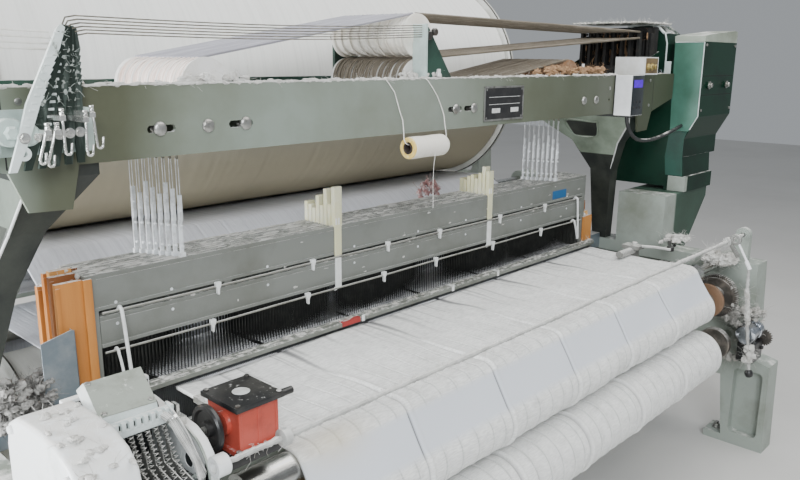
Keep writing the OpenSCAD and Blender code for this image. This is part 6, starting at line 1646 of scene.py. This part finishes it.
piece("temple_trip", [swept(smooth_line(link, 5), 0.0085, 8),
                      swept([(1.43, -0.64, 0.958), (1.48, -0.652, 0.9)], 0.008, 8),
                      turned((1.205, -0.748, 0.942), UP, head(0.016, 0.018, 0.021, 0.012), 20)], greasy_black,
      "root", smooth=30)
lint("lint_by_temple", strewn(rag, 30, (1.25, 1.4), (-0.76, -0.66), (0.962, 0.978), (0.006, 0.02),
                              (0.006, 0.018), (0.004, 0.01)), "root", 65, 5, 0.022)


# --- Dobby --------------------------------------------------------------------
# The shedding gearbox is a tall green casting: a paler side of painted light, a dark front and
# lower side of painted shade, a rounded chest with a pale rim, a sheet hood, and thin black jack
# levers under a linty black cover.
DOBBY_X, DOBBY_FRONT = 1.66, -0.632
# Very dark green over the whole casting: painted shade on its front.
dobby_green = surface("dobby_green", (0.005, 0.026, 0.015), (0.003, 0.007, 0.005), 0.4, scale=3.2,
                      patch_from=0.48, patch_to=0.72, grain=260, dust=0.5, dust_scale=16)
# The paler panel on the casting's side: painted light.
dobby_painted_light_side = surface("dobby_painted_light_side", (0.07, 0.19, 0.142), (0.046, 0.125, 0.088), 0.42, scale=4, grain=300,
                     dust=0.6)
hood_paint = surface("hood_paint", (0.33, 0.37, 0.31), (0.2, 0.22, 0.17), 0.45, scale=5, dust=0.5)
dead_black = surface("dead_black", (0.006, 0.006, 0.006), (0.022, 0.018, 0.015), 0.8, scale=40)
fill(dobby_green, shader_of(dobby_green), {"Specular IOR Level": 0.2})
coat(dobby_green, "dobby_gearbox")
coat(hood_paint, "dobby_hood")
coat(dead_black, "dobby_jacks")
panel = [(-0.63, 1.848), (-0.63, 1.502), (-0.59, 1.428), (-0.499, 1.428), (-0.492, 1.62), (-0.488, 1.848)]
piece("dobby_panel", [prism(panel, DOBBY_X - 0.0022, DOBBY_X + 0.001)], dobby_painted_light_side, "root", 0.001, 2)
edge_line = [(DOBBY_X - 0.0015, y, z)
             for y, z in ((-0.49, 1.8475), (-0.63, 1.8475), (-0.6303, 1.502), (-0.596, 1.437))]
piece("panel_edge", [swept(edge_line, 0.0026, 8)], pale_mint, "root")
# The lower part of the side, painted darker: painted shade.
dobby_lower_shade_paint = surface("dobby_lower", (0.009, 0.062, 0.043), (0.005, 0.032, 0.022), 0.42, scale=5)
piece("dobby_lower_side", [prism([(-0.586, 1.427), (-0.5735, 1.39), (-0.5735, 1.3), (-0.582, 1.208),
                                  (-0.495, 1.208), (-0.485, 1.3), (-0.498, 1.427)], DOBBY_X - 0.0016,
                                 DOBBY_X + 0.001)], dobby_lower_shade_paint, "root")
piece("foot_block_face", [slab((DOBBY_X - 0.002, -0.5975, 1.131), (DOBBY_X + 0.03, -0.51, 1.205))],
      machine_paint, "root", 0.001, 1)
piece("front_seams", [slab((DOBBY_X + 0.002, DOBBY_FRONT - 0.0004, z),
                           (DOBBY_X + 0.398, DOBBY_FRONT + 0.001, z + 0.0025)) for z in (1.69, 1.6)],
      dead_black, "root")
bolts = []
for x in (DOBBY_X + 0.074, DOBBY_X + 0.29):
    bolts.append(turned((x, DOBBY_FRONT - 0.0118, 1.648), FRONT, head(0.0125, 0.01, 0.013, 0.01), 6))
    bolts.append(turned((x, DOBBY_FRONT - 0.01, 1.648), FRONT, head(0.0185, 0.003), 32))
for x in (DOBBY_X + 0.02, DOBBY_X + 0.38):
    for z in (1.53, 1.835):
        bolts.append(turned((x, DOBBY_FRONT - 0.0002, z), FRONT, head(0.0075, 0.0035, 0.005, 0.005), 6))
piece("dobby_bolts", bolts, bolt_steel, "root", smooth=30)
CHEST = [(-0.444, 1.7), (-0.2, 1.68), (-0.2, 1.86), (-0.232, 1.915), (-0.3, 1.932), (-0.38, 1.928),
         (-0.43, 1.89), (-0.444, 1.84)]
rim_line = [(DOBBY_X - 0.001, y, z) for y, z in CHEST[1:7]]
piece("chest_rim", [swept(smooth_line(rim_line, 5), 0.0065, 10)], pale_mint, "root")
piece("chest_outline", [slab((DOBBY_X - 0.0012, -0.372, 1.868), (DOBBY_X + 0.001, -0.318, 1.8705)),
                        slab((DOBBY_X - 0.0012, -0.372, 1.822), (DOBBY_X + 0.001, -0.366, 1.87)),
                        slab((DOBBY_X - 0.0012, -0.345, 1.836), (DOBBY_X + 0.001, -0.322, 1.8385))],
      pale_mint, "root")
piece("chest_seam", [swept([(DOBBY_X - 0.001, -0.447, 1.7), (DOBBY_X - 0.001, -0.447, 1.842),
                            (DOBBY_X - 0.001, -0.434, 1.89), (DOBBY_X + 0.06, -0.434, 1.894)], 0.0042, 8),
                     slab((DOBBY_X - 0.002, -0.476, 1.7), (DOBBY_X + 0.05, -0.45, 1.758))], pale_mint, "root",
      0.001, 1)
piece("chest_lugs", [turned((DOBBY_X - 0.012, -0.392, 1.722), ACROSS,
                            [(0, 0.008), (0.002, 0.014), (0.014, 0.014)], 24),
                     turned((DOBBY_X - 0.016, -0.428, 1.712), ACROSS, head(0.008, 0.018), 6),
                     slab((DOBBY_X - 0.01, -0.445, 1.699), (DOBBY_X + 0.002, -0.33, 1.708))], chrome, "root",
      0.0006, 1)
extra = []
pitch = 0.3 / 7
for i in range(15):
    y = -0.38 + pitch * (i - 0.5) * 0.5 + 0.25 * pitch
    if i % 2 == 0:
        extra.append(prism([(1.484, 1.722), (1.514, 1.722), (1.511, 1.835), (1.508, 1.897), (1.489, 1.897),
                            (1.489, 1.815)], y - 0.003, y + 0.003, "y"))
    extra.append(turned((1.498, y - 0.0045, 1.884), REAR, head(0.0065, 0.009), 10))
piece("jack_plates", extra, dead_black, "dobby_jacks", 0.0005, 1)
comb = random.Random(71)
strips = []
for k in range(34):
    y = -0.404 + 0.348 * k / 33
    strips.append(slab((1.556 + comb.uniform(0, 0.03), y - 0.0038, 1.704),
                       (1.6, y + 0.0038, 1.868 + comb.uniform(-0.02, 0.045))))
piece("jack_backing", strips + [slab((1.6, -0.408, 1.7), (1.64, -0.052, 1.918))], dead_black, "root")
cover_lint = []
for _ in range(150):
    side = comb.choice((0, 1, 2))
    if side == 0:
        at = (1.44 + comb.uniform(-0.002, 0.004), comb.uniform(-0.41, -0.056), 1.935)
    elif side == 1:
        at = (comb.uniform(1.442, 1.755), -0.416 + comb.uniform(-0.002, 0.004), 1.935)
    else:
        at = (comb.uniform(1.45, 1.75), comb.uniform(-0.41, -0.06), 1.94)
    cover_lint.append((at,
                       (comb.uniform(0.003, 0.012), comb.uniform(0.003, 0.01), comb.uniform(0.002, 0.005))))
lint("lint_on_cover", cover_lint, "root", 72, 2, 0.016)
lint("lint_in_jacks",
     strewn(comb, 60, (1.544, 1.556), (-0.4, -0.06), (1.712, 1.892), 0.004, (0.003, 0.007), (0.006, 0.02)),
     "root", 73, 4, 0.02, brown_lint)


# --- Drive ----------------------------------------------------------------------
# A ribbed motor on a plinth at the left turns a spoked iron flywheel through a flat belt.
MOTOR_Y, MOTOR_Z = 0.4, 0.33
motor_paint = surface("motor_paint", (0.045, 0.18, 0.13), (0.02, 0.07, 0.05), 0.38, scale=5, dust=0.8)
belt_rubber = surface("belt_rubber", (0.018, 0.017, 0.016), (0.05, 0.047, 0.043), 0.7, scale=24,
                      stretch=(1, 6, 6))
cast_iron = surface("cast_iron", (0.075, 0.072, 0.066), (0.15, 0.13, 0.11), 0.55, metal=0.5, scale=10,
                    dust=0.6)
coat(motor_paint, "drive_motor")
coat(cast_iron, "motor_pulley")
coat(cast_iron, "flywheel")
coat(belt_rubber, "drive_belt")
piece("motor_cowl", [turned((-2.0605, MOTOR_Y, MOTOR_Z), ACROSS,
                            [(0, 0.092), (0.002, 0.108), (0.03, 0.1125), (0.033, 0.11)], 48)]
      + [turned((-2.0612, MOTOR_Y, MOTOR_Z), ACROSS, [(0, r), (0, r + 0.006), (0.002, r + 0.006), (0.002, r)],
                48, ring=True) for r in (0.024, 0.044, 0.064, 0.082)], motor_paint, "root", smooth=30)
piece("motor_terminal_box", [slab((-1.96, MOTOR_Y - 0.045, MOTOR_Z + 0.1),
                                  (-1.86, MOTOR_Y + 0.045, MOTOR_Z + 0.15)),
                             turned((-1.862, MOTOR_Y, MOTOR_Z + 0.125), ACROSS, head(0.014, 0.022), 16)],
      motor_paint, "root", 0.003, 2)
flange_bolts = [turned((x, MOTOR_Y + dy, 0.02), UP, head(0.01, 0.007, 0.0085, 0.008), 6)
                for x in (-2.02, -1.8) for dy in (-0.1, 0.1)]
piece("drive_bolts", flange_bolts, bolt_steel, "root")
